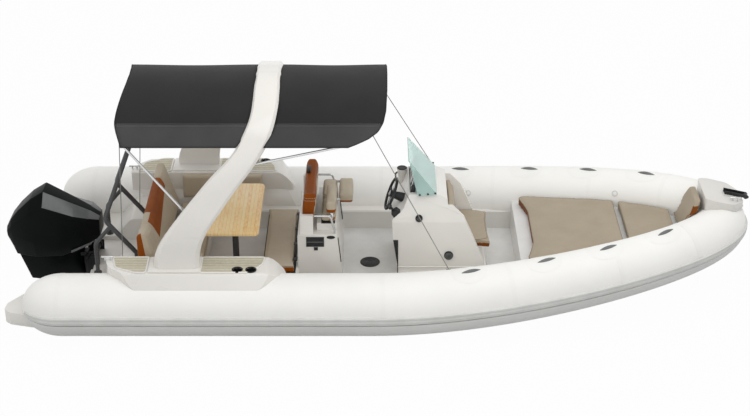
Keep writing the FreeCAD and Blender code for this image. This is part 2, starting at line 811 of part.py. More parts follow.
def make_pedestal_rod():
    """The sliding tube and the flange under the table."""
    top = size.table_height - size.table_thick - size.piece_gap
    low = size.floor_height + size.table_travel + 20
    place = Vector(pedestal_x(), 0, low)
    slider = Part.makeCylinder(size.pedestal_radius, top - low, place)
    flange = Part.makeCone(60, 110, 14, Vector(pedestal_x(), 0, top - 14))
    return fused([slider, flange])


def make_pedestal_base():
    """The fixed tube on the floor that the sliding tube goes down into."""
    low = size.floor_height + size.piece_gap
    tall = size.table_travel + 60
    outer = size.pedestal_radius + 8
    base = fused([Part.makeCylinder(outer, tall, Vector(pedestal_x(), 0, low)),
                  Part.makeCone(110, 70, 16, Vector(pedestal_x(), 0, low))])
    bore = Part.makeCylinder(size.pedestal_radius + size.slide_gap, tall, Vector(pedestal_x(), 0, low + 5))
    return base.cut(bore)


piece("table_pedestal", make_pedestal_rod())
piece("pedestal_base", make_pedestal_base())


# Forward bench and leaning post


BENCH_HINGES = (-480, -160, 160, 480)


def make_bench():
    """The hinged bench: cushion on a lid board, with hinge barrels at its top fore edge."""
    low = size.bench_top - size.bench_thick
    gap = size.move_gap
    side = [(size.bench_aft, low), (size.bench_fore - gap, low), (size.bench_fore - gap, size.bench_top),
            (size.bench_aft, size.bench_top)]
    parts = [across(side, size.bench_half, [15, 5, 5, 30])]
    for y in BENCH_HINGES:
        place = Vector(size.bench_fore, y - 30, size.bench_top)
        parts.append(Part.makeCylinder(size.hinge_radius, 60, place, PORT))
        parts.append(brick((size.bench_fore - 40, y - 30, size.bench_top - 5),
                           (size.bench_fore, y + 30, size.bench_top + 1)))
    return fused(parts)


piece("forward_bench", make_bench())


def make_post():
    """Bench box and leaning post in one moulding, with the seat plinth on top."""
    low = size.floor_height + size.piece_gap
    seat = size.bench_top - size.bench_thick - size.piece_gap
    aft, fore, top = size.post_aft, size.post_fore, size.post_top
    body = across([(aft, low), (fore, low), (fore - 12, low + 230), (fore - 50, top), (aft, top)],
                  size.post_half, [0, 0, 60, 30, 25])
    box = brick((size.bench_aft + 25, -size.bench_half + 30, low), (aft + 5, size.bench_half - 30, seat))
    plinth = brick((aft + 195, -size.helm_seat_half + 40, top - 5),
                   (fore - 50, size.helm_seat_half - 40,
                    size.helm_seat_top - size.bolster_thick - 7 - size.piece_gap))
    shoulder = brick((aft + 30, -size.post_half + 10, top - 5), (aft + 160, -size.post_half + 60, top + 205))
    return fused([body, box, plinth, shoulder, mirrored(shoulder)])


post_shape = make_post()
piece("leaning_post", post_shape)


def make_helm_backrest():
    """A padded shell that leans aft between the two shoulders."""
    aft, top = size.post_aft, size.post_top
    side = [(aft + 45, top + size.piece_gap), (aft + 150, top + size.piece_gap), (aft + 195, top + 300),
            (aft + 190, top + 435), (aft + 80, top + 435), (aft + 50, top + 220)]
    shell = across(side, size.post_half - 62, [10, 10, 60, 30, 30, 80])
    slot = brick((aft - 20, 80, top + 310), (aft + 400, 220, top + 345))
    return shell.cut(slot)


piece("helm_backrest", make_helm_backrest())


def make_helm_seat():
    """Two seat cushions side by side, rounded in front so that the bolsters swing past."""
    fore = size.post_fore - 50
    low = size.helm_seat_top - size.bolster_thick
    side = [(fore - 165, low), (fore, low), (fore, size.helm_seat_top), (fore - 165, size.helm_seat_top)]
    half = size.helm_seat_half / 2 - 10
    cushion = across(side, half - 10, [15, 15, 52, 15])
    left, right = cushion.copy(), cushion.copy()
    left.translate(PORT * (half + 10))
    right.translate(PORT * -(half + 10))
    base = brick((fore - 160, -2 * half, low - 7), (fore - 20, 2 * half, low + 4))
    return fused([left, right, base])


piece("helm_seat", make_helm_seat())


def bolster_pivot():
    """Side-view place of the bolster arms' pivot, which carries a bolster from flat to upright."""
    fore = size.post_fore - 50 + 10
    low = size.helm_seat_top - size.bolster_thick
    upright_x = fore - 10 - size.bolster_thick - 5
    upright_z = size.helm_seat_top + 5
    pivot_x = (upright_x + size.bolster_thick + low + fore - upright_z) / 2
    pivot_z = upright_z - fore + pivot_x
    return pivot_x, pivot_z


def make_bolster(side, raised):
    """A thigh bolster on two side arms; side is 1 to port and -1 to starboard."""
    fore = size.post_fore - 40
    low = size.helm_seat_top - size.bolster_thick
    half = size.helm_seat_half / 2 - 8
    pad = across([(fore, low), (fore + size.bolster_deep, low), (fore + size.bolster_deep, size.helm_seat_top),
                  (fore, size.helm_seat_top)], half, 22)
    pivot_x, pivot_z = bolster_pivot()
    arm = across([(pivot_x - 14, pivot_z - 14), (fore + 30, pivot_z - 14), (fore + 30, pivot_z + 14),
                  (pivot_x - 14, pivot_z + 14)], 2.5, 12)
    arms = []
    for end in (-1, 1):
        each = arm.copy()
        each.translate(PORT * (end * (half - 2.5)))
        arms.append(each)
        seat_face = size.helm_seat_half / 2 - 20 + size.piece_gap
        arms.append(Part.makeCylinder(7, half - seat_face, Vector(pivot_x, end * seat_face, pivot_z), PORT * end))
    whole = fused([pad] + arms)
    if raised:
        whole.rotate(Vector(pivot_x, 0, pivot_z), PORT, -90)
    whole.translate(PORT * (side * size.helm_seat_half / 2))
    return whole


piece("bolster_port", make_bolster(1, False))
piece("bolster_starboard", make_bolster(-1, True))


def lining(blank, carrier, way, thick):
    """The part of a blank that lies on a carrier's leaning face, as a sheet of even thickness."""
    outer, inner = carrier.copy(), carrier.copy()
    outer.translate(way * thick)
    inner.translate(way * size.piece_gap)
    return largest(blank.common(outer).cut(inner))


def make_galley():
    """Switch panel on the starboard face of the post, its tab, and the strips down the post's fore face."""
    face = -size.post_half - size.piece_gap
    aft, top = size.post_aft, size.post_top
    panel = brick((aft + 87, face - 6, top - 139), (aft + 269, face, top - 28))
    tab = brick((aft + 165, face - 8, top - 180), (aft + 205, face, top - 146))
    strips = []
    for side in (-1, 1):
        y = side * (size.post_half - 30)
        strip = brick((size.post_fore - 100, y - 14, top - 330), (size.post_fore + 50, y + 14, top - 60))
        strips.append(lining(strip, post_shape, FORWARD, 8))
    return Part.makeCompound([panel, tab] + strips)


piece("galley_fittings", make_galley())


def make_post_rails():
    """A bent rail over each end of the leaning post."""
    top = size.post_top + size.piece_gap
    y = size.post_half - 25
    aft, fore = size.post_aft + 172, size.post_fore - 75
    rail = rod([Vector(aft, y, top + 200), Vector(fore - 40, y, top + 200), Vector(fore, y, top + 40),
                Vector(fore, y, top)], 11, 40)
    return both(rail)


piece("post_rails", make_post_rails())


# Console


def dash_foot():
    """Side-view place where the shelf ends and the dash face begins."""
    return Vector(size.console_aft + 57, 0, size.console_top - 138)


def dash_head():
    """Side-view place of the top of the dash face, which leans as the wheel does."""
    rise = 143
    return dash_foot() + Vector(rise * math.tan(math.radians(size.wheel_rake)), 0, rise)


def shelf_edge():
    """Side-view place of the console's aft edge, where the shelf starts."""
    return Vector(size.console_aft - 58, 0, size.console_top - 250)


def recess_wall(height):
    """Distance forward of the seat recess's leaning wall at a height."""
    slope = 70 / (size.console_top - 110 - size.console_seat)
    return size.console_fore - 370 - (height - size.console_seat) * slope


def make_console():
    """Side and end outlines crossed, with a recess for the seat in front."""
    low = size.floor_height + size.piece_gap
    aft, fore, top = size.console_aft, size.console_fore, size.console_top
    half = size.console_half
    head, foot, edge = dash_head(), dash_foot(), shelf_edge()
    side = [(aft, low), (fore, low), (fore - 70, low + 260), (fore - 215, low + 610),
            (fore - 280, low + 757), (fore - 445, top - 40), (fore - 540, top + 10), (head.x, head.z),
            (foot.x, foot.z), (edge.x, edge.z), (aft - 47, low + 510), (aft - 4, low + 230)]
    body = across(side, half + 10, [0, 0, 200, 60, 60, 60, 60, 15, 20, 25, 60, 60])
    end = [(half + 8, low), (half + 8, low + 120), (half - 4, low + 150), (half - 20, low + 700),
           (half - 110, top + 20), (half - 110, top + 200)]
    ends = end + [(-y, z) for y, z in reversed(end)]
    body = body.common(slab(in_end(ends, aft - 300), FORWARD * 1600, [0, 10, 20, 80, 0, 0, 0, 0, 80, 20, 10, 0]))
    high, seat = top + 200, size.console_seat
    recess = across([(recess_wall(high), high), (recess_wall(seat), seat), (fore + 100, seat),
                     (fore + 100, high)], half - 75, [0, 12, 0, 0])
    pod = Part.makeCone(34, 52, 180, Vector(foot.x - 5, 270, top - 170))
    cup = Part.makeCylinder(41, 100, Vector(foot.x - 5, 270, top - 70))
    return largest(body.cut(recess).fuse(pod).cut(cup))


console_shape = make_console()
piece("console", console_shape)


def make_dash():
    """Steering housing on the dash face and the instrument hood on top of the console."""
    lean = math.radians(size.wheel_rake)
    axis = Vector(math.cos(lean), 0, -math.sin(lean))
    centre = Vector(size.wheel_x, size.wheel_y, size.wheel_z)
    start = 20 + size.piece_gap
    reach = (dash_foot() - centre).dot(axis) - size.piece_gap
    housing = Part.makeCone(34, 52, reach - start, centre + axis * start, axis)
    carrier = console_shape.copy()
    carrier.translate(Vector(-size.piece_gap, 0, size.piece_gap))
    housing = largest(housing.cut(carrier))
    head = dash_head()
    slope = (size.console_top + 10 - head.z) / (size.console_fore - 540 - head.x)

    def seat(x):
        return x, head.z + (x - head.x) * slope + size.piece_gap

    hood = across([seat(head.x + 12), seat(head.x + 60), (head.x + 100, head.z + 150),
                   (head.x + 72, head.z + 158)], 270, [0, 0, 10, 10])
    return Part.makeCompound([housing, hood])


piece("dash_panel", make_dash())


LENS = (445, 872)
VENT = (753, 454)


def make_console_fittings():
    """Lens, vent ring and foot strip on the starboard side, and a grab loop beside the cup holder."""
    starboard = PORT * -1
    half = size.console_half
    blanks = []
    for (x, z), radius in ((LENS, 37), (VENT, 47)):
        blanks.append(Part.makeCylinder(radius, 90, Vector(x, 70 - half, z), starboard))
    blanks.append(brick((size.console_aft - 60, -half - 20, 250), (size.console_aft + 6, 70 - half, 630)))
    parts = [lining(blank, console_shape, starboard, 7) for blank in blanks]
    foot = dash_foot()
    loop_y = 345
    loop = rod([Vector(foot.x - 60, loop_y, foot.z - 90), Vector(foot.x - 75, loop_y, foot.z + 60),
                Vector(foot.x + 10, loop_y, foot.z + 60), Vector(foot.x + 10, loop_y, foot.z - 90)], 9, 30)
    rise = console_shape.copy()
    rise.translate(UP * size.piece_gap)
    parts.append(largest(loop.cut(rise)))
    return Part.makeCompound(parts)


piece("console_fittings", make_console_fittings())


def make_windscreen():
    """A raked front pane with a triangular pane each side, one shell of even thickness."""
    low, top = size.console_top + 12, size.screen_top
    fore = size.console_fore - 555
    rim = [Vector(fore - 195, -348, low - 10), Vector(fore, -330, low), Vector(fore, 330, low),
           Vector(fore - 195, 348, low - 10)]
    lip = [Vector(fore - 285, -270, top), Vector(fore - 285, 270, top)]
    front = [rim[1], rim[2], lip[1], lip[0]]
    faces = [Part.Face(outline(front)), Part.Face(outline([rim[0], rim[1], lip[0]])),
             Part.Face(outline([rim[2], rim[3], lip[1]]))]
    inward = [Vector(-1, 0, -0.75), Vector(0.2, 1, 0), Vector(0.2, -1, 0)]
    panes = []
    for face, way in zip(faces, inward):
        normal = face.normalAt(0, 0)
        if normal.dot(way) < 0:
            normal = normal * -1
        panes.append(face.extrude(normal * size.screen_thick))
    carrier = console_shape.copy()
    carrier.translate(UP * size.piece_gap)
    return largest(fused(panes).cut(carrier))


piece("windscreen", make_windscreen())


def make_throttle():
    """Control box with its lever, seated on the shelf at the starboard end of the dash."""
    start, end = shelf_edge(), dash_foot()
    along = (end - start).normalize()
    rise = Vector(-along.z, 0, along.x)
    place = start + rise * size.piece_gap

    def spot(run, height):
        point = place + along * run + rise * height
        return point.x, point.z

    box = across([spot(28, 0), spot(118, 0), spot(112, 52), spot(40, 60)], 32, [0, 0, 16, 20])
    lever = across([spot(62, 50), spot(84, 50), spot(88, 105), spot(66, 105)], 9, 8)
    grip = across([spot(60, 92), spot(94, 92), spot(94, 118), spot(60, 118)], 30, 11)
    control = fused([box, lever, grip])
    control.translate(PORT * (76 - size.console_half))
    return control


def make_steering_wheel():
    """Rim, three spokes and hub, drawn flat and then leaned back on its axis."""
    rim = Part.makeTorus(size.wheel_radius, 14)
    hub = Part.makeCylinder(36, 34, Vector(0, 0, -20))
    parts = [rim, hub]
    for turn in (90, 210, 330):
        spoke = Part.makeBox(size.wheel_radius - 20, 26, 10, Vector(16, -13, -8))
        spoke.rotate(Vector(0, 0, 0), UP, turn)
        parts.append(spoke)
    wheel = fused(parts)
    wheel.rotate(Vector(0, 0, 0), PORT, size.wheel_rake - 90)
    wheel.translate(Vector(size.wheel_x, size.wheel_y, size.wheel_z))
    return wheel


piece("throttle_lever", make_throttle())
piece("steering_wheel", make_steering_wheel())


def make_console_seat():
    """Seat and back cushions in the recess at the console's front."""
    fore, top = size.console_fore, size.console_top
    half = size.console_half - 80
    base = size.console_seat + size.piece_gap
    seat = across([(fore - 368, base), (fore + 10, base), (fore + 10, base + 96), (fore - 368, base + 96)],
                  half, [14, 25, 25, 10])
    start, end = base + 96 + size.piece_gap, top - 115
    behind = size.piece_gap
    back = across([(recess_wall(start) + behind, start), (recess_wall(start) + 64, start),
                   (recess_wall(end) + 64, end), (recess_wall(end) + behind, end)], half - 30, [0, 10, 25, 0])
    return Part.makeCompound([seat, back])


piece("console_seat", make_console_seat())


# Bow


def bow_pad(start, end, start_half, end_half, wave):
    """A cushion on the bow deck between two stations, with a gently curved aft edge."""
    plan = [(start, -start_half), (end, -end_half), (end, end_half), (start, start_half),
            (start + wave, start_half * 0.45), (start + wave, -start_half * 0.45)]
    run = size.bow_reach - 260 - size.bow_deck_aft
    slope = size.bow_deck_rise / run
    base = size.bow_deck_height + size.piece_gap

    def deck(x):
        return base + slope * (x - size.bow_deck_aft)

    column = slab(in_plan(plan, size.bow_deck_height - 50), UP * 600, [60, 15, 15, 60, 120, 120])
    far = end + 200
    near = start - 200
    keep = across([(near, deck(near)), (far, deck(far)), (far, deck(far) + size.bow_pad_thick),
                   (near, deck(near) + size.bow_pad_thick)], start_half + 100)
    return column.common(keep)


split = size.bow_pad_split
piece("bow_cushion_aft", bow_pad(size.bow_deck_aft + 15, split, 715, 515, 75).cut(tubes))
piece("bow_cushion_fore", bow_pad(split + 6, size.bow_reach - 480, 515, 345, 0.5).cut(tubes))


def make_bow_backrest():
    """A trapezoid pad that leans forward against the nose moulding."""
    start = size.bow_reach - 470
    low = size.bow_deck_height + size.bow_deck_rise * 0.9 + size.piece_gap
    base = [Vector(start, -400, low), Vector(start, 400, low), Vector(start + 165, 178, low + 410),
            Vector(start + 165, -178, low + 410)]
    pad = Part.Face(outline(base, [40, 40, 55, 55])).extrude(Vector(70, 0, 0))
    return largest(pad.cut(tubes + [liner_shape]))


backrest_shape = make_bow_backrest()
piece("bow_backrest", backrest_shape)


def nose_top(x):
    """Height of the nose moulding's top, which falls towards the stem."""
    crown = size.tube_height + size.bow_rise + size.bow_radius
    return crown + 98 - 68 * (x - size.bow_reach + 190) / 310


def make_nose():
    """The bow moulding: a saddle over both tubes that carries the anchor roller."""
    reach = size.bow_reach
    crown = size.tube_height + size.bow_rise + size.bow_radius
    plan = [(reach - 226, -230), (reach - 120, -262), (reach + 70, -250), (reach + 190, -110), (reach + 190, 110),
            (reach + 70, 250), (reach - 120, 262), (reach - 226, 230)]
    block = slab(in_plan(plan, crown - 260), UP * 500, [30, 120, 90, 60, 60, 90, 120, 30])
    start, end = reach - 190, reach + 120
    head = [(reach - 300, crown - 300), (reach + 240, crown - 300), (reach + 240, nose_top(end) - 40),
            (end, nose_top(end)), (start, nose_top(start)), (reach - 300, nose_top(start))]
    block = block.common(across(head, 400, [0, 0, 60, 200, 120, 0]))
    return largest(block.cut(tubes + [backrest_shape]))


nose_shape = make_nose()
piece("nose_piece", nose_shape)


def make_anchor_roller():
    """Roller between two cheeks at the stem, and a cleat to starboard of it."""
    start, end = size.bow_reach + 5, size.bow_reach + 250
    gap = size.piece_gap
    low, fall = nose_top(start) + gap, nose_top(end) + gap
    cheek = [(start, low), (end, fall), (end + 12, fall + 18), (end - 5, fall + 36), (start, low + 36)]
    cheeks = [slab(in_side(cheek, y), PORT * 8, [0, 0, 10, 10, 0]) for y in (-38, 30)]
    sole = slab(in_side([(start, low), (end - 55, fall + 12), (end - 55, fall + 18), (start, low + 6)], -38), PORT * 76)
    roller = Part.makeCylinder(22, 76, Vector(end - 22, -38, fall + 16), PORT)
    cleat_x = size.bow_reach + 95
    cleat = make_cleat(cleat_x, -150, nose_top(cleat_x) - 15, 110)
    cleat.translate(UP * 12)
    carrier = nose_shape.copy()
    carrier.translate(UP * gap)
    return Part.makeCompound([fused(cheeks + [sole, roller]), largest(cleat.cut(carrier))])


piece("anchor_roller", make_anchor_roller())


# Outboard


def make_clamp():
    """Two cheeks bolted to the transom, bridged aft, with the tilt tube between them."""
    aft = size.transom - size.piece_gap
    top = size.tilt_z
    cheek = [(aft, -140), (aft, size.well_floor + size.piece_gap), (aft + 55, size.well_floor + size.piece_gap),
             (aft + 60, top + 20), (aft - 20, top + 34), (aft - 75, top - 60), (aft - 75, -60)]
    plate = slab(in_side(cheek, 150), PORT * 26, [0, 0, 5, 20, 25, 20, 30])
    tube = Part.makeCylinder(22, 326, Vector(size.tilt_x, -163, top), PORT)
    bridge = brick((aft - 40, -160, -130), (aft, 160, -60))
    return fused([plate, mirrored(plate), tube, bridge])


piece("clamp_bracket", make_clamp())


def make_swivel():
    """The swivel bracket: two ears on the tilt tube and the vertical steering tube."""
    x, z = size.tilt_x, size.tilt_z
    ear = slab(in_side([(x + 30, z - 32), (x + 30, z + 30), (x - 60, z + 30), (size.steer_x - 5, z - 20),
                        (size.steer_x - 5, z - 120), (x - 60, z - 100)], 100), PORT * 38, 24)
    steer = Part.makeCylinder(44, 430, Vector(size.steer_x, 0, z - 480))
    web = brick((size.steer_x, -138, z - 118), (size.steer_x + 44, 138, z - 52))
    bore = Part.makeCylinder(22 + size.slide_gap, 500, Vector(x, -250, z), PORT)
    pin_bore = Part.makeCylinder(22 + size.slide_gap, 600, Vector(size.steer_x, 0, z - 560))
    return fused([ear, mirrored(ear), web, steer]).cut([bore, pin_bore])


piece("swivel_bracket", make_swivel())


# Rings of the cowl from aft forward. Each has its foot, waist, side and roof corner, and each
# corner is a place aft of the steering axis, a half width and a height.
COWL_RINGS = [
    [(790, 85, 500), (790, 95, 530), (790, 100, 560), (790, 70, 600)],
    [(735, 118, 400), (735, 128, 560), (735, 135, 635), (733, 95, 705)],
    [(700, 132, 310), (655, 158, 520), (650, 165, 712), (645, 105, 812)],
    [(590, 160, 300), (590, 188, 500), (530, 190, 805), (510, 110, 940)],
    [(490, 182, 300), (500, 205, 480), (378, 206, 892), (370, 110, 1027)],
    [(220, 190, 315), (210, 208, 480), (70, 210, 790), (70, 76, 866)],
    [(20, 178, 395), (0, 196, 500), (-80, 190, 728), (-80, 54, 780)],
    [(-180, 118, 505), (-180, 128, 540), (-180, 112, 690), (-180, 40, 712)]]


def make_cowl():
    """The engine cover: flat roof, chamfered shoulders and raked tail, on a narrower apron."""
    x = size.steer_x
    wires = []
    for ring in COWL_RINGS:
        port = [Vector(x - back, half, z) for back, half, z in ring]
        star = [Vector(each.x, -each.y, each.z) for each in reversed(port)]
        wires.append(outline(port + star))
    cover = Part.makeLoft(wires, True, True)
    low, high = size.tilt_z - 390, size.tilt_z + 50
    apron = Part.makeLoft([
        outline(in_plan([(x - aft, -40), (x - aft + 30, -wide), (x - 350, -half), (x - fore, -half * 0.8),
                         (x - fore, half * 0.8), (x - 350, half), (x - aft + 30, wide), (x - aft, 40)], z))
        for z, aft, wide, half, fore in ((low, 600, 100, 125, 190), (high, 700, 125, 165, 115))], True, True)
    return fused([cover, apron])


cowl_shape = make_cowl()
piece("cowl", cowl_shape)


def leg_section(z, fore, aft, half):
    """A streamlined plan section of the leg."""
    points = [(fore, 0), (fore - (fore - aft) * 0.25, half), (aft + (fore - aft) * 0.2, half * 0.8), (aft, 0)]
    ring = points + [(px, -py) for px, py in reversed(points[1:-1])]
    return outline(in_plan(ring, z), [half * 0.8, half, half, 4, half, half])


def make_midsection():
    """Leg, plate, gearcase and skeg, with the two yokes that hold the steering tube."""
    x, z = size.steer_x, size.prop_z
    leg = Part.makeLoft([leg_section(z - 10, x - 60, x - 300, 30), leg_section(z + 150, x - 75, x - 330, 36),
                         leg_section(z + 330, x - 75, x - 360, 60), leg_section(120, x - 75, x - 400, 80)],
                        True, False)
    plate_z = z + size.prop_radius + 15
    plate = slab(in_plan([(x - 60, -60), (x - 130, -120), (x - 470, -140), (x - 500, 0), (x - 470, 140),
                          (x - 130, 120), (x - 60, 60)], plate_z), UP * 12, 30)
    gear = Part.makeCylinder(56, 250, Vector(x - 345, 0, z), FORWARD)
    nose = Part.makeCone(56, 14, 90, Vector(x - 95, 0, z), FORWARD)
    skeg = across([(x - 110, z - 40), (x - 300, z - 40), (x - 330, z - 215), (x - 270, z - 225)], 7)
    top, low = size.tilt_z - 50, size.tilt_z - 480
    yokes = []
    for height in (top + size.piece_gap, low - 40 - size.piece_gap):
        yokes.append(brick((x - 150, -52, height), (x + 20, 52, height + 40)))
    pin = Part.makeCylinder(22, top - low + 60, Vector(x, 0, low - 30))
    return largest(fused([leg, plate, gear, nose, skeg, pin] + yokes).cut(cowl_shape))


piece("midsection", make_midsection())


def make_propeller():
    """A hub with three pitched blades."""
    x, z = size.steer_x - 345 - size.piece_gap, size.prop_z
    hub = Part.makeCone(54, 44, 118, Vector(x, 0, z), FORWARD * -1)
    blades = []
    for turn in (90, 210, 330):
        wires = []
        for share, chord, pitch in ((0.15, 80, 62), (0.45, 130, 48), (0.75, 140, 36), (1.0, 60, 28)):
            radius = size.prop_radius * share
            thick = 8 - 4 * share
            wire = outline([Vector(-chord / 2, -thick / 2, 0), Vector(chord / 2, -thick / 2, 0),
                            Vector(chord / 2, thick / 2, 0), Vector(-chord / 2, thick / 2, 0)])
            wire.rotate(Vector(0, 0, 0), UP, pitch)
            wire.translate(Vector(0, 0, radius))
            wires.append(wire)
        blade = Part.makeLoft(wires, True, False)
        blade.rotate(Vector(0, 0, 0), FORWARD, turn)
        blade.translate(Vector(x - 60, 0, z))
        blades.append(blade)
    return fused([hub] + blades)


piece("propeller", make_propeller())


# Checks and export

doc.recompute()
for item in doc.Objects:
    if "Invalid" in item.State or "Error" in item.State:
        raise RuntimeError("failed: %s %s" % (item.Label, item.State))
os.makedirs("parts", exist_ok=True)
for item in NODES:
    if item.Shape.isNull() or not item.Shape.isValid():
        raise RuntimeError("bad shape: " + item.Label)
for item in NODES:
    item.Shape.exportStep("parts/%s.step" % item.Label)
    print("%-22s solids %2d volume %9.4f" % (item.Label, len(item.Shape.Solids), item.Shape.Volume / 1e9))
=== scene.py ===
"""Rigid inflatable boat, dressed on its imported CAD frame.

Metres, X towards the bow, Y to port, Z up. The floor of the picture is the waterline, Z = 0.
"""
import math
from contextlib import contextmanager

import bmesh
import bpy
import numpy as np
from mathutils import Matrix, Vector
from mathutils.bvhtree import BVHTree


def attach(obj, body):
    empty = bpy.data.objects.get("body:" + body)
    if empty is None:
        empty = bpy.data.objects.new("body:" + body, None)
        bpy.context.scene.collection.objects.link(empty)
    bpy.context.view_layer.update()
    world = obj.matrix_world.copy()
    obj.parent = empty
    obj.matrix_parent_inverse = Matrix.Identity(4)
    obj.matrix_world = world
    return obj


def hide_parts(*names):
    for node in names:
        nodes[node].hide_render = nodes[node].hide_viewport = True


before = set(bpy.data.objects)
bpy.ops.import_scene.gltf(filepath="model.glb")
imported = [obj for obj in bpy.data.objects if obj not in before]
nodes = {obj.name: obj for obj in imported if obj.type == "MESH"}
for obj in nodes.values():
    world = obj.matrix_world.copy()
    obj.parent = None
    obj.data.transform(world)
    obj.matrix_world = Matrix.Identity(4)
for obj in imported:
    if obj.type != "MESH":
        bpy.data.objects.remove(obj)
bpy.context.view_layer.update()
scene = bpy.context.scene
for leftover in ("Cube", "Light", "Camera"):
    if leftover in bpy.data.objects:
        bpy.data.objects.remove(bpy.data.objects[leftover])

ALONG, ACROSS, UP = (1, 0, 0), (0, 1, 0), (0, 0, 1)

# Camera and light

# The picture looks square across the boat, 28.5 degrees down, from 16.15 m
TILT, DISTANCE, AIM = math.radians(28.5), 16.15, Vector((0, 0, 0.78))
lens = bpy.data.cameras.new("picture")
lens.sensor_width, lens.lens, lens.clip_end = 36.0, 74.8, 200.0
camera = bpy.data.objects.new("picture", lens)
scene.collection.objects.link(camera)
camera.location = AIM + DISTANCE * Vector((0, -math.cos(TILT), math.sin(TILT)))
camera.rotation_euler = (math.pi / 2 - TILT, 0, 0)
scene.camera = camera
scene.view_settings.view_transform = "Standard"


def lamp(name, power, size, place, aim):
    """A soft box, turned towards a point on the boat."""
    box = bpy.data.lights.new(name, "AREA")
    box.energy, box.shape, box.size, box.size_y = power, "RECTANGLE", size[0], size[1]
    holder = bpy.data.objects.new(name, box)
    scene.collection.objects.link(holder)
    holder.location = place
    holder.rotation_euler = (Vector(aim) - Vector(place)).to_track_quat("-Z", "Y").to_euler()
    return holder


lamp("key_overhead", 185, (9, 5), (1.5, -2.0, 8.5), (0, 0, 0.5))
lamp("fill_front", 80, (9, 5), (-1.0, -12.0, 7.0), (0, 0, 0.6))
# Fill light under the sunshade, which the camera, mirrors and windows don't see
shade_fill = lamp("shade_fill", 3.4, (2.4, 1.2), (-1.1, 0.0, 1.84), (-1.1, 0, 0))
shade_fill.visible_camera = shade_fill.visible_glossy = shade_fill.visible_transmission = False


def linear(code):
    """An sRGB hex colour as Blender's linear colour."""
    parts = [int(code[i:i + 2], 16) / 255 for i in (0, 2, 4)]
    return tuple(c / 12.92 if c <= 0.04045 else ((c + 0.055) / 1.055) ** 2.4 for c in parts) + (1.0,)


def add(tree, kind, inputs=None, **settings):
    """Adds a node. An input takes a plain value or another node's output."""
    node = tree.nodes.new(kind)
    for name, value in settings.items():
        setattr(node, name, value)
    for name, value in (inputs or {}).items():
        socket = node.inputs[name]
        if isinstance(value, bpy.types.NodeSocket):
            tree.links.new(value, socket)
        else:
            socket.default_value = value
    return node


def maths(tree, operation, *values):
    """One sum of a Math node, on plain values and other nodes' outputs."""
    return add(tree, "ShaderNodeMath", dict(enumerate(values)), operation=operation).outputs["Value"]


def noise(tree, here, scale, detail, rough=0.5):
    """A cloudy pattern from 0 to 1."""
    sizes = {"Vector": here, "Scale": scale, "Detail": detail, "Roughness": rough}
    return add(tree, "ShaderNodeTexNoise", sizes).outputs["Fac"]


def toned(tree, source, *stops):
    """Colours a 0 to 1 pattern by its (place, hex colour) stops."""
    node = add(tree, "ShaderNodeValToRGB", {"Fac": source})
    band = node.color_ramp
    while len(band.elements) < len(stops):
        band.elements.new(0.5)
    for element, (place, code) in zip(band.elements, stops):
        element.position, element.color = place, linear(code)
    return node.outputs["Color"]


def material(name, rough, metal=0.0, **sockets):
    """A material with its plain values set on the shader's own sockets."""
    made = bpy.data.materials.new(name)
    made.use_nodes = True
    shader = made.node_tree.nodes["Principled BSDF"]
    shader.inputs["Roughness"].default_value = rough
    shader.inputs["Metallic"].default_value = metal
    for socket, value in sockets.items():
        shader.inputs[socket.replace("_", " ")].default_value = value
    here = add(made.node_tree, "ShaderNodeTexCoord").outputs["Object"]
    return made, made.node_tree, shader, here


def dress(tree, shader, colour, height=None, strength=0.2, distance=0.001, worn=None):
    """Joins a pattern's colour and height to the shader. Worn is a 0 to 1 pattern with the lowest and
    highest roughness that it stands for."""
    if colour is not None:
        tree.links.new(colour, shader.inputs["Base Color"])
    if height is not None:
        bump = add(tree, "ShaderNodeBump", {"Strength": strength, "Distance": distance, "Height": height})
        tree.links.new(bump.outputs["Normal"], shader.inputs["Normal"])
    if worn is not None:
        source, low, high = worn
        level = add(tree, "ShaderNodeMapRange", {"Value": source, "To Min": low, "To Max": high})
        tree.links.new(level.outputs["Result"], shader.inputs["Roughness"])


# Finishes


def coated_fabric(name, light, dark, rough=0.5):
    """Polyester cloth coated in synthetic rubber: a satin skin that shows its weave as a fine tooth.
    The real threads stand 0.5 mm apart; they are drawn 5 mm apart so that they show."""
    made, tree, shader, here = material(name, rough, IOR=1.5, Sheen_Weight=0.06)
    clouds = noise(tree, here, 1.7, 4.0, 0.55)
    tooth = add(tree, "ShaderNodeTexVoronoi", {"Vector": here, "Scale": 200.0}, distance="CHEBYCHEV")
    dress(tree, shader, toned(tree, clouds, (0.3, dark), (0.7, light)), tooth.outputs["Distance"], 0.12,
          0.0012, (clouds, rough - 0.06, rough + 0.08))
    return made


def polished_gelcoat(name, light, dark):
    """Polyester gelcoat waxed off the mould: a deep gloss over a very slight ripple, hand wide."""
    made, tree, shader, here = material(name, 0.28, IOR=1.52, Coat_Weight=0.35, Coat_Roughness=0.08)
    ripple = noise(tree, here, 9.0, 2.0)
    clouds = noise(tree, here, 1.3, 5.0)
    dress(tree, shader, toned(tree, clouds, (0.35, dark), (0.65, light)), ripple, 0.05, 0.004,
          (clouds, 0.24, 0.34))
    return made


def nonskid_gelcoat(name, light, dark):
    """Deck gelcoat moulded with blunt diamonds for grip: dull, each diamond 9 mm, drawn 18 mm."""
    made, tree, shader, here = material(name, 0.62, IOR=1.5)
    turned = add(tree, "ShaderNodeMapping", {"Vector": here, "Rotation": (0, 0, math.radians(45))})
    grid = add(tree, "ShaderNodeTexVoronoi",
               {"Vector": turned.outputs["Vector"], "Scale": 55.0, "Randomness": 0.0}, distance="CHEBYCHEV")
    scuff = noise(tree, here, 4.5, 6.0, 0.6)
    dress(tree, shader, toned(tree, scuff, (0.3, dark), (0.7, light)), grid.outputs["Distance"], 0.5, 0.002,
          (scuff, 0.52, 0.72))
    return made


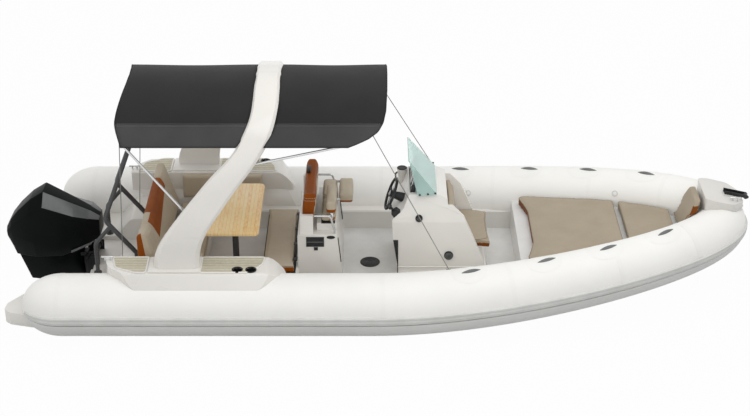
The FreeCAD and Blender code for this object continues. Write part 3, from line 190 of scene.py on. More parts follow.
def mix(tree, share, first, second):
    """Two colours blended by a share. The colour sockets of the node are its 7th and 8th inputs."""
    node = add(tree, "ShaderNodeMix", {0: share, 6: first, 7: second}, data_type="RGBA")
    return node.outputs[2]


def planked(name, boards, seam, across, width, gloss, gap=0.08, grain_length=0.6):
    """Planks with caulked seams between them: grain runs along each plank and each has its own tone."""
    made, tree, shader, here = material(name, gloss, IOR=1.5, Coat_Weight=0.0 if gloss > 0.4 else 0.15,
                                        Coat_Roughness=0.12)
    parts = add(tree, "ShaderNodeSeparateXYZ", {"Vector": here}).outputs
    side, along = (parts["X"], parts["Y"]) if across else (parts["Y"], parts["X"])
    count = maths(tree, "DIVIDE", side, width)
    number = maths(tree, "FLOOR", count)
    spot = add(tree, "ShaderNodeCombineXYZ", {"X": maths(tree, "MULTIPLY", along, grain_length), "Y": side,
                                              "Z": maths(tree, "MULTIPLY", number, 7.31)})
    grain = noise(tree, spot.outputs["Vector"], 38.0, 5.0, 0.65)
    own = add(tree, "ShaderNodeTexWhiteNoise", {"W": number}, noise_dimensions="1D").outputs["Value"]
    wood = toned(tree, maths(tree, "MULTIPLY_ADD", own, 0.28, grain),
                 (0.35, boards[0]), (0.58, boards[1]), (0.85, boards[2]))
    edge = maths(tree, "ABSOLUTE", maths(tree, "SUBTRACT", maths(tree, "FRACT", count), 0.5))
    caulk = add(tree, "ShaderNodeMapRange",
                {"Value": edge, "From Min": 0.5 - gap, "From Max": 0.5 - gap * 0.6}).outputs["Result"]
    dress(tree, shader, mix(tree, caulk, wood, linear(seam)),
          maths(tree, "MULTIPLY_ADD", caulk, -1.0, grain), 0.35, 0.0015)
    return made


def leatherette(name, light, dark, rough=0.46, sheen=0.3):
    """PVC upholstery with an embossed hide grain: pebbles 2 mm wide, drawn 7 mm."""
    made, tree, shader, here = material(name, rough, IOR=1.5, Specular_IOR_Level=sheen)
    pebble = add(tree, "ShaderNodeTexVoronoi", {"Vector": here, "Scale": 140.0}, feature="SMOOTH_F1")
    patches = noise(tree, here, 3.4, 5.0, 0.6)
    dress(tree, shader, toned(tree, patches, (0.3, dark), (0.7, light)), pebble.outputs["Distance"], 0.22,
          0.0015, (patches, rough - 0.07, rough + 0.09))
    return made


def acrylic_canvas(name, light, dark):
    """Solution-dyed acrylic awning cloth: matt plain weave, threads 0.6 mm, drawn 6 mm, a little fuzz."""
    made, tree, shader, here = material(name, 0.85, IOR=1.45, Sheen_Weight=0.06, Sheen_Roughness=0.5)
    warp, weft = (add(tree, "ShaderNodeTexWave", {"Vector": here, "Scale": 52.0, "Distortion": 0.3},
                      bands_direction=way).outputs["Fac"] for way in "XY")
    faded = noise(tree, here, 2.2, 5.0)
    dress(tree, shader, toned(tree, faded, (0.35, dark), (0.68, light)),
          maths(tree, "MULTIPLY", warp, weft), 0.35, 0.0015)
    return made


def metal(name, tone, rough, brushed=0.0):
    """Bare metal; brushed above 0 draws lengthwise scratches about 2 mm apart."""
    made, tree, shader, here = material(name, rough, 1.0, Base_Color=linear(tone))
    stretched = add(tree, "ShaderNodeMapping", {"Vector": here, "Scale": (6.0, 500.0, 500.0)})
    marks = noise(tree, stretched.outputs["Vector"], 1.0, 3.0)
    smears = noise(tree, here, 14.0, 4.0)
    dress(tree, shader, None, marks, brushed, 0.0006, (smears, rough * 0.7, rough * 1.5))
    return made


def moulded(name, light, dark, rough, grit=0.1, coat=0.0, metallic=0.0, sheen=0.5):
    """Moulded plastic, rubber or sprayed lacquer: grit is the height of its fine tooth."""
    made, tree, shader, here = material(name, rough, metallic, IOR=1.5, Coat_Weight=coat,
                                        Coat_Roughness=0.06, Specular_IOR_Level=sheen)
    tooth = noise(tree, here, 260.0, 2.0)
    smears = noise(tree, here, 6.0, 5.0, 0.6)
    dress(tree, shader, toned(tree, smears, (0.35, dark), (0.7, light)), tooth, grit, 0.001,
          (smears, rough * 0.85, rough * 1.2))
    return made


def tinted_acrylic(name, tone):
    """Cast acrylic sheet, 8 mm, tinted and a little milky where the light falls on it."""
    made, tree, shader, here = material(name, 0.05, IOR=1.49, Transmission_Weight=0.56,
                                        Base_Color=linear(tone))
    dress(tree, shader, None, worn=(noise(tree, here, 7.0, 3.0), 0.03, 0.09))
    return made


TUBE = coated_fabric("coated_tube_fabric", "F6F5F1", "F1F0EC")
TAPE = coated_fabric("welded_seam_tape", "F4F3EF", "EFEEEA", 0.44)
STRAKE = moulded("extruded_strake_rubber", "D9D9D6", "CECECB", 0.6, 0.12)
CHAFE = coated_fabric("grey_chafe_fabric", "E0E0DD", "D7D7D4", 0.6)
# Dark grey for the recessed channel under the strake: painted shade in the groove
GROOVE_SHADE = moulded("strake_groove_painted_shade", "8B8B88", "80807D", 0.7)
GELCOAT = polished_gelcoat("polished_gelcoat", "EAE7E1", "E4E1DB")
# A darker copy of the polished gelcoat: painted shade, for the nose moulding
SHADED = polished_gelcoat("gelcoat_darkened_for_painted_shade", "DCD9D3", "D6D3CD")
# A slightly darker copy of the polished gelcoat for the liner's walls and the lounge box: painted shade
WALL_SHADE = polished_gelcoat("gelcoat_painted_wall_shade", "DEDCD8", "D6D4D0")
FLOOR = nonskid_gelcoat("nonskid_gelcoat", "E3E2DF", "D6D5D2")
TEAK = planked("synthetic_teak", ("B9B29C", "C6C0AA", "D1CCB8"), "7C7664", False, 0.048, 0.62, 0.05)
TABLE = planked("varnished_teak", ("F2BD7A", "FFD999", "FFE7B4"), "E3B677", True, 0.036, 0.34, 0.036, 0.35)
BLACK = moulded("black_abs", "1B1C1D", "131415", 0.42, 0.12)
RUBBER = moulded("dark_rubber", "747776", "646766", 0.5, 0.15)
STEEL = metal("polished_stainless_steel", "D9DADA", 0.14)
BRUSHED = metal("satin_stainless_steel", "B9BABB", 0.3, 0.25)
MAST = moulded("powder_coated_aluminium", "4A4B4D", "3E3F41", 0.42, 0.16)
WEBBING = acrylic_canvas("polyester_webbing", "8E8E8C", "7A7A78")
# One beige in two copies: lighter under the sunshade, painted light; darker in the open, painted shade
BEIGE = leatherette("lightened_beige_painted_light", "C2B5A0", "B8AB96")
DARKENED_BEIGE = leatherette("darkened_beige_painted_shade", "A99C88", "9F927E")
# One cognac in two copies: lighter under the sunshade, painted light; darker in the open, painted shade
COGNAC = leatherette("cognac_leatherette", "A05310", "82400A", 0.5, 0.14)
DARKENED_COGNAC = leatherette("cognac_painted_shade", "7E4412", "6A370B", 0.5, 0.14)
STITCH = moulded("bonded_nylon_thread", "CFC4B2", "C2B6A3", 0.6)
PIPING = leatherette("dark_welt_leatherette", "8C806E", "7D7261")
CANVAS = acrylic_canvas("charcoal_acrylic_canvas", "202021", "191919")
# Lighter grey canvas for the sunshade's sides: painted light where the cloth turns towards the lamps
LIT_CANVAS = acrylic_canvas("canvas_painted_light", "424243", "3A3A3B")
SCREEN = tinted_acrylic("tinted_acrylic", "D8F4EE")
DASH = moulded("textured_black_plastic", "202124", "17181A", 0.5, 0.2)
GLASS = moulded("instrument_glass", "0E1316", "0A0E10", 0.1, 0.0, 0.8)
ENGINE = moulded("black_lacquer", "0B0E0E", "070A0A", 0.38, 0.03, sheen=0.07)
ACCENT = moulded("metallic_grey_lacquer", "626464", "585A5A", 0.36, 0.05, 0.1, 0.2)
DRIVE = moulded("satin_black_enamel", "131516", "0E1011", 0.4, 0.08, sheen=0.25)


# Plain pieces


@contextmanager
def editing(mesh, sources=None):
    """Opens a mesh for editing, or several sources as one, and writes the result into the mesh."""
    edit = bmesh.new()
    for each in sources or [mesh]:
        edit.from_mesh(each)
    yield edit
    edit.to_mesh(mesh)
    edit.free()


def keep(obj, body, replaced=()):
    """Lets a finished piece ride on its body and stand for the CAD nodes named."""
    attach(obj, body)
    if replaced:
        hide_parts(*replaced)
    return obj


def object_of(name, mesh, materials):
    obj = bpy.data.objects.new(name, mesh)
    scene.collection.objects.link(obj)
    mesh.materials.clear()
    for each in materials:
        mesh.materials.append(each)
    return obj


def smooth(mesh, degrees):
    """Smooth shading with the edges sharper than an angle kept crisp."""
    mesh.shade_smooth()
    limit = math.radians(degrees)
    with editing(mesh) as edit:
        for edge in edit.edges:
            edge.smooth = len(edge.link_faces) != 2 or edge.calc_face_angle(0) < limit


def mesh_of(name, points, faces=(), lines=()):
    mesh = bpy.data.meshes.new(name)
    mesh.from_pydata([tuple(p) for p in points], lines, faces)
    mesh.update()
    return mesh


def mirrored(points):
    """The same points on the other side of the boat."""
    return [Vector((p[0], -p[1], p[2])) for p in points]


def loft(rings, closed=True, caps=False):
    """Points and faces of a skin over rings that have the same number of points."""
    count = len(rings[0])
    points = [p for ring in rings for p in ring]
    faces = []
    for i in range(len(rings) - 1):
        for j in range(count if closed else count - 1):
            k = (j + 1) % count
            faces.append((i * count + j, i * count + k, (i + 1) * count + k, (i + 1) * count + j))
    if caps:
        last = (len(rings) - 1) * count
        faces.append(tuple(reversed(range(count))))
        faces.append(tuple(range(last, last + count)))
    return points, faces


def outwards(mesh, sources=None, weld=1e-5):
    """Welds a mesh, or several sources into one, and turns its faces outwards."""
    with editing(mesh, sources) as edit:
        bmesh.ops.remove_doubles(edit, verts=edit.verts, dist=weld)
        bmesh.ops.recalc_face_normals(edit, faces=edit.faces)
    return mesh


def cut(edit, point, normal):
    """Cuts a mesh along a plane and returns the points and edges of the cut."""
    geometry = edit.verts[:] + edit.edges[:] + edit.faces[:]
    return bmesh.ops.bisect_plane(edit, geom=geometry, plane_co=point, plane_no=normal)["geom_cut"]


def tree_of(mesh):
    """A search tree over a mesh's faces."""
    return BVHTree.FromPolygons([tuple(v.co) for v in mesh.vertices],
                                [tuple(p.vertices) for p in mesh.polygons])


def settled(obj):
    """The object's shape after its modifiers, as a plain mesh."""
    graph = bpy.context.evaluated_depsgraph_get()
    graph.update()
    shape = obj.evaluated_get(graph)
    return bpy.data.meshes.new_from_object(shape, preserve_all_data_layers=True, depsgraph=graph)


def apply_all(obj):
    """Turns the object's modifiers into its own mesh."""
    mesh = settled(obj)
    kept = [] if mesh.materials else list(obj.data.materials)
    obj.modifiers.clear()
    obj.data = mesh
    for each in kept:
        mesh.materials.append(each)


# Collar

# The same named values as in the part's source, in metres
TUBE_R, BOW_R, SPACING, HEIGHT = 0.303, 0.250, 1.158, 0.334
AFT, CAP, REACH, RISE = -3.080, 0.390, 3.590, 0.325


def bend(share):
    """The port tube's centre line, from the start of its bend at 0 to the bow at 1."""
    climb = 1.86 * share ** 2 - 0.86 * share ** 3
    return Vector((REACH * share, SPACING * math.sqrt(max(1 - share ** 1.72, 0)), HEIGHT + RISE * climb))


def bend_frame(share):
    """Centre, outward and up directions and radius on the bent part of the port tube."""
    if share >= 1:
        run = Vector((0, -1, 0))
    elif share <= 0:
        run = Vector(ALONG)
    else:
        run = (bend(min(share + 0.002, 1)) - bend(max(share - 0.002, 0))).normalized()
    outward = Vector(UP).cross(run).normalized()
    return bend(share), outward, run.cross(outward).normalized(), TUBE_R - (TUBE_R - BOW_R) * share ** 2


def straight_frame(x):
    """The same on the tube's straight part and on the rounded cap behind it."""
    radius = TUBE_R * math.sqrt(max(1 - (max(AFT - x, 0) / CAP) ** 2, 0))
    return Vector((x, SPACING, HEIGHT)), Vector(ACROSS), Vector(UP), radius


def collar_stations():
    """Stations of the port tube from the tip of its end cap to the centre plane at the bow."""
    stations = [straight_frame(AFT - CAP * math.cos(math.pi / 2 * i / 16)) for i in range(17)]
    stations += [straight_frame(AFT * (1 - i / 24)) for i in range(1, 25)]
    return stations + [bend_frame(1 - (1 - i / 72) ** 1.7) for i in range(1, 73)]


STATIONS = collar_stations()


def around(station, degrees, proud=0.0):
    """The point on the tube at an angle up from its outward side."""
    centre, outward, upward, radius = station
    angle = math.radians(degrees)
    return centre + (outward * math.cos(angle) + upward * math.sin(angle)) * (radius + proud)


def round_collar(name, stations, profile, finish, crisp=35, caps=True, replaced=()):
    """A skin swept round the collar; the profile lists (degrees, metres proud of the tube)."""
    rings = [[around(s, degrees, proud) for degrees, proud in profile] for s in stations]
    rings += [mirrored(ring) for ring in reversed(rings[:-1])]
    mesh = outwards(mesh_of(name, *loft(rings, caps=caps)))
    smooth(mesh, crisp)
    keep(object_of(name, mesh, [finish]), "root", replaced)


# The tube closes in its own rounded ends, and the strips on it need flat ones
round_collar("collar", STATIONS, [(5 * j, 0) for j in range(72)], TUBE, crisp=60, caps=False,
             replaced=("tube_port", "tube_starboard"))
strake_stations = [s for s in STATIONS if s[3] > TUBE_R * 0.42]
round_collar("rub_strake_profile", strake_stations,
             [(5.0, -0.002), (4.6, 0.013), (3.6, 0.020), (2.2, 0.022), (0.6, 0.0215), (-0.4, 0.0185),
              (-2.0, 0.0182), (-3.0, 0.0215), (-5.2, 0.022), (-6.6, 0.0215), (-7.6, 0.0185), (-8.4, 0.0185),
              (-9.2, 0.0205), (-10.0, 0.012), (-10.3, -0.002)], STRAKE, replaced=("rub_strake",))
round_collar("chafe_band", strake_stations,
             [(-12.9, -0.002), (-13.1, 0.011), (-13.8, 0.013)]
             + [(-13.8 - 3.3 * i, 0.012) for i in range(1, 14)]
             + [(-58.6, 0.010), (-59.6, 0.007), (-60.0, -0.002)], CHAFE)
# A dark strip in the recess between strake and chafe band: painted shade
round_collar("strake_channel", strake_stations,
             [(-10.1, -0.002), (-10.3, 0.005), (-12.8, 0.005), (-13.0, -0.002)], GROOVE_SHADE)


# Cushions


def merged(node):
    """A welded copy of a CAD node's mesh."""
    mesh = nodes[node].data.copy()
    with editing(mesh) as edit:
        bmesh.ops.remove_doubles(edit, verts=edit.verts, dist=2e-5)
    return mesh


def read(mesh, what):
    """The vertices' coordinates (co) or normals (normal) as an array."""
    flat = np.empty(len(mesh.vertices) * 3)
    mesh.vertices.foreach_get(what, flat)
    return flat.reshape(-1, 3)


def place_vertices(mesh, points):
    mesh.vertices.foreach_set("co", points.ravel())
    mesh.update()


def hold_inside(mesh, solid, gap):
    """Brings points that left the CAD solid back to just under its surface."""
    points = read(mesh, "co")
    for i, p in enumerate(points):
        here = Vector(p)
        near, normal, _, _ = solid.find_nearest(here)
        if near is not None and (here - near).dot(normal) > -gap:
            points[i] = near - normal * gap
    place_vertices(mesh, points)


def blow_up(obj, pressure, frames=20):
    """The cover's points after a short cloth simulation with air pressure inside it."""
    cloth = obj.modifiers.new("cloth", "CLOTH")
    settings = cloth.settings
    settings.quality = 4
    settings.mass = 0.35
    settings.tension_stiffness = settings.compression_stiffness = 22
    settings.shear_stiffness = 10
    settings.bending_stiffness = 2.5
    settings.use_pressure = True
    settings.uniform_pressure_force = pressure
    settings.effector_weights.gravity = 0.0
    cloth.collision_settings.use_collision = False
    cloth.point_cache.frame_start, cloth.point_cache.frame_end = 1, frames
    for step in range(1, frames + 1):
        scene.frame_set(step)
    blown = read(settled(obj), "co")
    obj.modifiers.clear()
    scene.frame_set(1)
    return blown


# A cover may rise by 1.9 times the slack that it was drawn in by, and stays half a millimetre inside the
# CAD solid.
MOST_RISE, QUICK_RISE, INSIDE = 1.9, 0.8, 0.0005


def stuffed(name, node, materials, body="root", voxel=0.016, slack=0.010, shape=None):
    """A foam cushion in its cover: the CAD solid drawn in by slack, remeshed and blown up as cloth,
    and held within the CAD surface, so that it meets it in the middle of each face only."""
    obj = object_of(name, shape or merged(node), materials)
    solid = tree_of(obj.data)
    remesh = obj.modifiers.new("remesh", "REMESH")
    remesh.mode, remesh.voxel_size, remesh.use_smooth_shade = "VOXEL", voxel, True
    apply_all(obj)
    mesh = obj.data
    with editing(mesh) as edit:
        for _ in range(2):
            bmesh.ops.smooth_vert(edit, verts=edit.verts, factor=0.5, use_axis_x=True, use_axis_y=True,
                                  use_axis_z=True)
    mesh.update()
    start = read(mesh, "co") - read(mesh, "normal") * slack
    place_vertices(mesh, start)
    blown = blow_up(obj, pressure=4.0)
    move = blown - start
    length = np.linalg.norm(move, axis=1, keepdims=True)
    move *= np.minimum(1.0, slack * MOST_RISE / np.maximum(length, 1e-9))
    place_vertices(mesh, start + move)
    hold_inside(mesh, solid, INSIDE)
    dense = obj.modifiers.new("smooth", "SUBSURF")
    dense.levels = dense.render_levels = 1
    apply_all(obj)
    obj.data.shade_smooth()
    return keep(obj, body, (node,))


def groove(obj, point, normal, width=0.016, depth=0.005):
    """Draws a cover in along a plane, as a sewn seam does, by a depth that fades out over a width."""
    points, facing = read(obj.data, "co"), read(obj.data, "normal")
    normal = np.array(Vector(normal).normalized())
    off = (points - np.array(point)) @ normal
    pull = depth * np.clip(1 - (off / width) ** 2, 0, 1) ** 2
    square = facing - np.outer(facing @ normal, normal)
    place_vertices(obj.data, points - square * pull[:, None])


def cut_line(obj, point, normal, where=None, lift=0.0):
    """The line where a plane meets a piece, as a mesh of edges for a welt or a row of stitches."""
    edit = bmesh.new()
    edit.from_mesh(obj.data)
    found = cut(edit, point, normal)
    edit.verts.index_update()
    order, points, lines = {}, [], []
    for v in found:
        if isinstance(v, bmesh.types.BMVert) and (where is None or where(v.co)):
            order[v.index] = len(points)
            points.append(v.co + v.normal * lift)
    for e in found:
        if isinstance(e, bmesh.types.BMEdge):
            ends = [order.get(v.index) for v in e.verts]
            if None not in ends:
                lines.append(ends)
    edit.free()
    return mesh_of("line", points, lines=lines)


# Trees that grow what repeats


def new_tree(name, sizes):
    """A Geometry Nodes tree with a geometry input, a material and named sizes, and its input node."""
    tree = bpy.data.node_groups.new(name, "GeometryNodeTree")
    tree.interface.new_socket("Geometry", in_out="INPUT", socket_type="NodeSocketGeometry")
    for label, value in sizes.items():
        socket = tree.interface.new_socket(label, in_out="INPUT", socket_type="NodeSocketFloat")
        socket.default_value = value
    tree.interface.new_socket("Material", in_out="INPUT", socket_type="NodeSocketMaterial")
    tree.interface.new_socket("Geometry", in_out="OUTPUT", socket_type="NodeSocketGeometry")
    return tree, add(tree, "NodeGroupInput").outputs


def close_tree(tree, start, shape):
    """Ends a tree: real geometry in the material that the piece asks for."""
    real = add(tree, "GeometryNodeRealizeInstances", {"Geometry": shape}).outputs["Geometry"]
    coloured = add(tree, "GeometryNodeSetMaterial", {"Geometry": real, "Material": start["Material"]})
    add(tree, "NodeGroupOutput", {"Geometry": coloured.outputs["Geometry"]})
    return tree


def welt_tree():
    """A round cord along the edges of a mesh, as the piping of a seam."""
    tree, start = new_tree("welt", {"Radius": 0.004, "Step": 0.012})
    curve = add(tree, "GeometryNodeMeshToCurve", {"Mesh": start["Geometry"]}).outputs["Curve"]
    even = add(tree, "GeometryNodeResampleCurve", {"Curve": curve, "Length": start["Step"]}, mode="LENGTH")
    ring = add(tree, "GeometryNodeCurvePrimitiveCircle", {"Resolution": 8, "Radius": start["Radius"]})
    tube = add(tree, "GeometryNodeCurveToMesh", {"Curve": even.outputs["Curve"], "Fill Caps": True,
                                                 "Profile Curve": ring.outputs["Curve"]})
    soft = add(tree, "GeometryNodeSetShadeSmooth", {"Geometry": tube.outputs["Mesh"]})
    return close_tree(tree, start, soft.outputs["Geometry"])


def stitch_tree():
    """Thread loops standing in a row along the edges of a mesh."""
    tree, start = new_tree("stitches", {"Spacing": 0.02, "Length": 0.012, "Thickness": 0.0022})
    curve = add(tree, "GeometryNodeMeshToCurve", {"Mesh": start["Geometry"]}).outputs["Curve"]
    spots = add(tree, "GeometryNodeCurveToPoints", {"Curve": curve, "Length": start["Spacing"]},
                mode="LENGTH")
    loop = add(tree, "GeometryNodeMeshCylinder", {"Vertices": 6, "Radius": start["Thickness"],
                                                  "Depth": start["Length"]})
    turn = add(tree, "FunctionNodeAlignRotationToVector", {"Vector": spots.outputs["Tangent"]}, axis="Z")
    row = add(tree, "GeometryNodeInstanceOnPoints", {"Points": spots.outputs["Points"],
                                                     "Instance": loop.outputs["Mesh"],
                                                     "Rotation": turn.outputs["Rotation"]})
    return close_tree(tree, start, row.outputs["Instances"])


WELT, STITCHES = welt_tree(), stitch_tree()


def grown(name, tree, base, finish, body="root", slot="upholstery", **sizes):
    """Runs a tree on a base mesh and keeps the plain result."""
    carrier = bpy.data.objects.new(name, base)
    scene.collection.objects.link(carrier)
    modifier = carrier.modifiers.new("grow", "NODES")
    modifier.node_group = tree
    values = dict(sizes, Material=finish)
    for item in tree.interface.items_tree:
        if item.in_out == "INPUT" and item.name in values:
            modifier[item.identifier] = values[item.name]
    mesh = settled(carrier)
    carrier.modifiers.clear()
    carrier.data = mesh
    return keep(carrier, body)


def joined(meshes):
    """Several line meshes as one."""
    points, lines = [], []
    for mesh in meshes:
        base = len(points)
        points += [v.co for v in mesh.vertices]
        lines += [tuple(base + i for i in e.vertices) for e in mesh.edges]
    return mesh_of("lines", points, lines=lines)


def path_of(points):
    """A run of edges through points."""
    return mesh_of("path", points, lines=[(i, i + 1) for i in range(len(points) - 1)])


def cord(name, paths, radius, finish, slot, step):
    """Round cords along paths of points."""
    lines = joined([path_of(p) for p in paths])
    return grown(name, WELT, lines, finish, slot=slot, Radius=radius, Step=step)


# The record's finish on every CAD node that stays

FINISH = {
    "hull": GELCOAT, "deck_liner": FLOOR, "splash_well": GELCOAT, "swim_platforms": GELCOAT,
    "side_deck_port": GELCOAT, "side_deck_starboard": GELCOAT, "teak_pads": TEAK, "deck_fittings": BLACK,
    "arch": GELCOAT, "canopy_hoop_fore": STEEL, "canopy_hoop_aft": STEEL, "stays_fore": WEBBING,
    "stays_aft": WEBBING, "tow_mast": MAST, "lounge_base": WALL_SHADE, "table_top": TABLE,
    "table_pedestal": STEEL, "pedestal_base": MAST, "leaning_post": GELCOAT, "galley_fittings": BLACK,
    "post_rails": STEEL, "console": GELCOAT, "dash_panel": DASH, "console_fittings": BLACK,
    "windscreen": SCREEN, "throttle_lever": BLACK, "steering_wheel": DASH, "nose_piece": GELCOAT,
    "anchor_roller": BLACK, "clamp_bracket": DRIVE, "swivel_bracket": DRIVE, "cowl": ENGINE,
    "midsection": DRIVE, "propeller": BRUSHED, "tube_handles": RUBBER, "canopy_fore": CANVAS,
    "canopy_aft": CANVAS}
for node, finish in FINISH.items():
    slots = nodes[node].data.materials
    slots.clear()
    slots.append(finish)


# Moulded parts with rounded edges


def shells(edit):
    """The separate closed bodies of a mesh, as lists of vertices."""
    left, found = set(edit.verts), []
    while left:
        stack, shell = [left.pop()], []
        while stack:
            vert = stack.pop()
            shell.append(vert)
            for edge in vert.link_edges:
                other = edge.other_vert(vert)
                if other in left:
                    left.remove(other)
                    stack.append(other)
        found.append(shell)
    return found


def round_edges(obj, width, segments=2, degrees=32):
    """Rounds the edges that are sharper than an angle."""
    edge = obj.modifiers.new("edge", "BEVEL")
    edge.width, edge.segments = width, segments
    edge.limit_method, edge.angle_limit = "ANGLE", math.radians(degrees)
    apply_all(obj)
    smooth(obj.data, 30)


def softened(name, node, width, finish=None, part=None, reshape=None, replaced=True, body="root",
             degrees=32):
    """A copy of a CAD node, or of the bodies that part picks by their middle, with its edges rounded."""
    mesh = merged(node)
    with editing(mesh) as edit:
        for shell in shells(edit) if part else ():
            if not part(sum((v.co for v in shell), Vector()) / len(shell)):
                bmesh.ops.delete(edit, geom=shell, context="VERTS")
        bmesh.ops.dissolve_limit(edit, angle_limit=math.radians(0.5), verts=edit.verts[:],
                                 edges=edit.edges[:])
        if reshape:
            reshape(edit)
    obj = object_of(name, mesh, [finish or FINISH[node]])
    if width:
        round_edges(obj, width, degrees=degrees)
    return keep(obj, body, (node,) if replaced else ())


def prism(points, move):
    """A flat outline carried along a straight move."""
    count = len(points)
    ends = [Vector(p) for p in points] + [Vector(p) + Vector(move) for p in points]
    faces = [tuple(reversed(range(count))), tuple(range(count, 2 * count))]
    faces += [(i, (i + 1) % count, count + (i + 1) % count, count + i) for i in range(count)]
    return mesh_of("prism", ends, faces)


def brick(low, high):
    x0, y0, z0, x1, y1, z1 = *low, *high
    return prism([(x0, y0, z0), (x1, y0, z0), (x1, y1, z0), (x0, y1, z0)], (0, 0, z1 - z0))


def turned(profile, spot, way, count=28):
    """A lathed body: (radius, height) pairs about an axis that starts at a spot."""
    turn = Vector(way).to_track_quat("Z", "Y")
    circle = [(math.cos(2 * math.pi * k / count), math.sin(2 * math.pi * k / count)) for k in range(count)]
    rings = [[Vector(spot) + turn @ Vector((radius * x, radius * y, height)) for x, y in circle]
             for radius, height in profile]
    return mesh_of("turned", *loft(rings, caps=True))


def fitting(name, meshes, finish, width=0.0, body="root", replaced=()):
    """Loose small solids of one finish as one piece."""
    obj = object_of(name, outwards(bpy.data.meshes.new(name), meshes, 1e-6), [finish])
    if width:
        round_edges(obj, width)
    else:
        smooth(obj.data, 35)
    return keep(obj, body, replaced)


# Height of a side deck's edge at its fore end, as (x, height)
DECK_END = ((-1.070, 0.730), (-1.045, 0.724), (-1.010, 0.703), (-0.960, 0.660), (-0.920, 0.615),
            (-0.882, 0.560))


def slope_ends(edit):
    """Gives a side deck its sloping ends."""
    for x, _ in DECK_END[:-1]:
        cut(edit, (x, 0, 0), ALONG)
    for v in edit.verts:
        v.co.z = min(v.co.z, float(np.interp(v.co.x, *zip(*DECK_END))))


for side in ("port", "starboard"):
    softened("deck_moulding_" + side, "side_deck_" + side, 0.012, reshape=slope_ends, degrees=28)
softened("arch_moulding", "arch", 0.014, degrees=40)
softened("post_moulding", "leaning_post", 0.014)
console = softened("console_moulding", "console", 0.010)
softened("lounge_box", "lounge_base", 0.010)
# The nose moulding takes the darker gelcoat copy: painted shade
nose = softened("nose_moulding", "nose_piece", 0.008, SHADED)
softened("platform_mouldings", "swim_platforms", 0.010)
softened("well_moulding", "splash_well", 0.010)
softened("clamp_casting", "clamp_bracket", 0.005)
softened("table_board", "table_top", 0.006, body="table")

liner = softened("liner_moulding", "deck_liner", 0.0)
liner.data.materials.append(WALL_SHADE)
liner.data.materials.append(GELCOAT)
# Upright faces take the darker gelcoat, painted shade; level faces the deck or the plain gelcoat
for polygon in liner.data.polygons:
    flat, height = polygon.normal.z > 0.9, polygon.center.z
    polygon.material_index = 0 if flat and (height < 0.2 or height > 0.42) else 2 if flat else 1

# Upholstery


def block(*corners, round_by=0.0):
    """Boxes between (low, high) corners as one mesh, with their edges rounded."""
    mesh = outwards(bpy.data.meshes.new("block"), [brick(low, high) for low, high in corners])
    if round_by:
        obj = object_of("block", mesh, [])
        edge = obj.modifiers.new("edge", "BEVEL")
        edge.width, edge.segments = round_by, 4
        apply_all(obj)
        mesh = obj.data
        bpy.data.objects.remove(obj)
    return mesh


def plane_y(y):
    """The upright plane along the boat at a distance to port, as a point and its normal."""
    return (0, y, 0), ACROSS


def plane_z(z):
    """The level plane at a height."""
    return (0, 0, z), UP


def tint(obj, test, *cuts):
    """Gives the second cover to the faces that a test picks by their middle and facing. The cover is
    first cut along planes, given as (point, normal), so that its edges run straight."""
    with editing(obj.data) as edit:
        for point, normal in cuts:
            cut(edit, point, normal)
    for polygon in obj.data.polygons:
        if test(polygon.center, polygon.normal):
            polygon.material_index = 1


lounge = stuffed("lounge_seat", "lounge_cushions", [BEIGE])
aft_back = stuffed("lounge_back", "aft_backrest", [BEIGE, COGNAC])
side_pads = stuffed("side_pads", "side_backrests", [BEIGE], slack=0.006)
bench = stuffed("bench_pad", "forward_bench", [BEIGE, COGNAC], "bench_lid",
                shape=block(((-1.162, -0.636, 0.356), (-0.806, 0.636, 0.449))))
helm_back = stuffed("helm_back", "helm_backrest", [COGNAC, BEIGE])
helm_seat = stuffed("helm_seats", "helm_seat", [BEIGE, COGNAC], slack=0.008,
                    shape=block(((-0.550, -0.400, 0.826), (-0.386, -0.010, 0.929)),
                                ((-0.550, 0.010, 0.826), (-0.386, 0.400, 0.929)), round_by=0.03))
bolster_p, bolster_s = (
    stuffed("bolster_pad_" + side, "bolster_" + side, [BEIGE, COGNAC], "bolster_" + side, 0.011, 0.007,
            shape=block((low, high), round_by=0.022))
    for side, low, high in (("port", (-0.375, 0.008, 0.825), (-0.225, 0.422, 0.930)),
                            ("starboard", (-0.495, -0.422, 0.935), (-0.390, -0.008, 1.085))))
# The open console seat and bow pads take the darker beige and cognac copies: painted shade
console_pad = stuffed("console_seats", "console_seat", [DARKENED_BEIGE, DARKENED_COGNAC])
bow_aft = stuffed("sun_pad_aft", "bow_cushion_aft", [DARKENED_BEIGE, DARKENED_COGNAC])
bow_fore = stuffed("sun_pad_fore", "bow_cushion_fore", [DARKENED_BEIGE, DARKENED_COGNAC])
bow_back = stuffed("bow_back", "bow_backrest", [DARKENED_BEIGE, DARKENED_COGNAC])


# Where each second cover begins, in metres from the boat's own origin


def cognac_back(p, n):
    """The aft backrest: a wide panel with a sloping foot in front, its top and back, and one end."""
    panel = (p.y < 0.47 and n.x >= 0.3 and p.z <= 0.895 and p.z > 0.66 + 0.16 * (p.y + 0.40)
             and 0.265 * (p.y + 0.52) + 0.12 * (p.z - 0.925) > 0)
    behind = -0.30 < p.y < 0.47 and (p.z > 0.895 or n.x < 0.3 and p.z > 0.55)
    return behind or panel or p.y < -0.765 and p.x + 0.12 * (p.z - 0.46) < -2.26


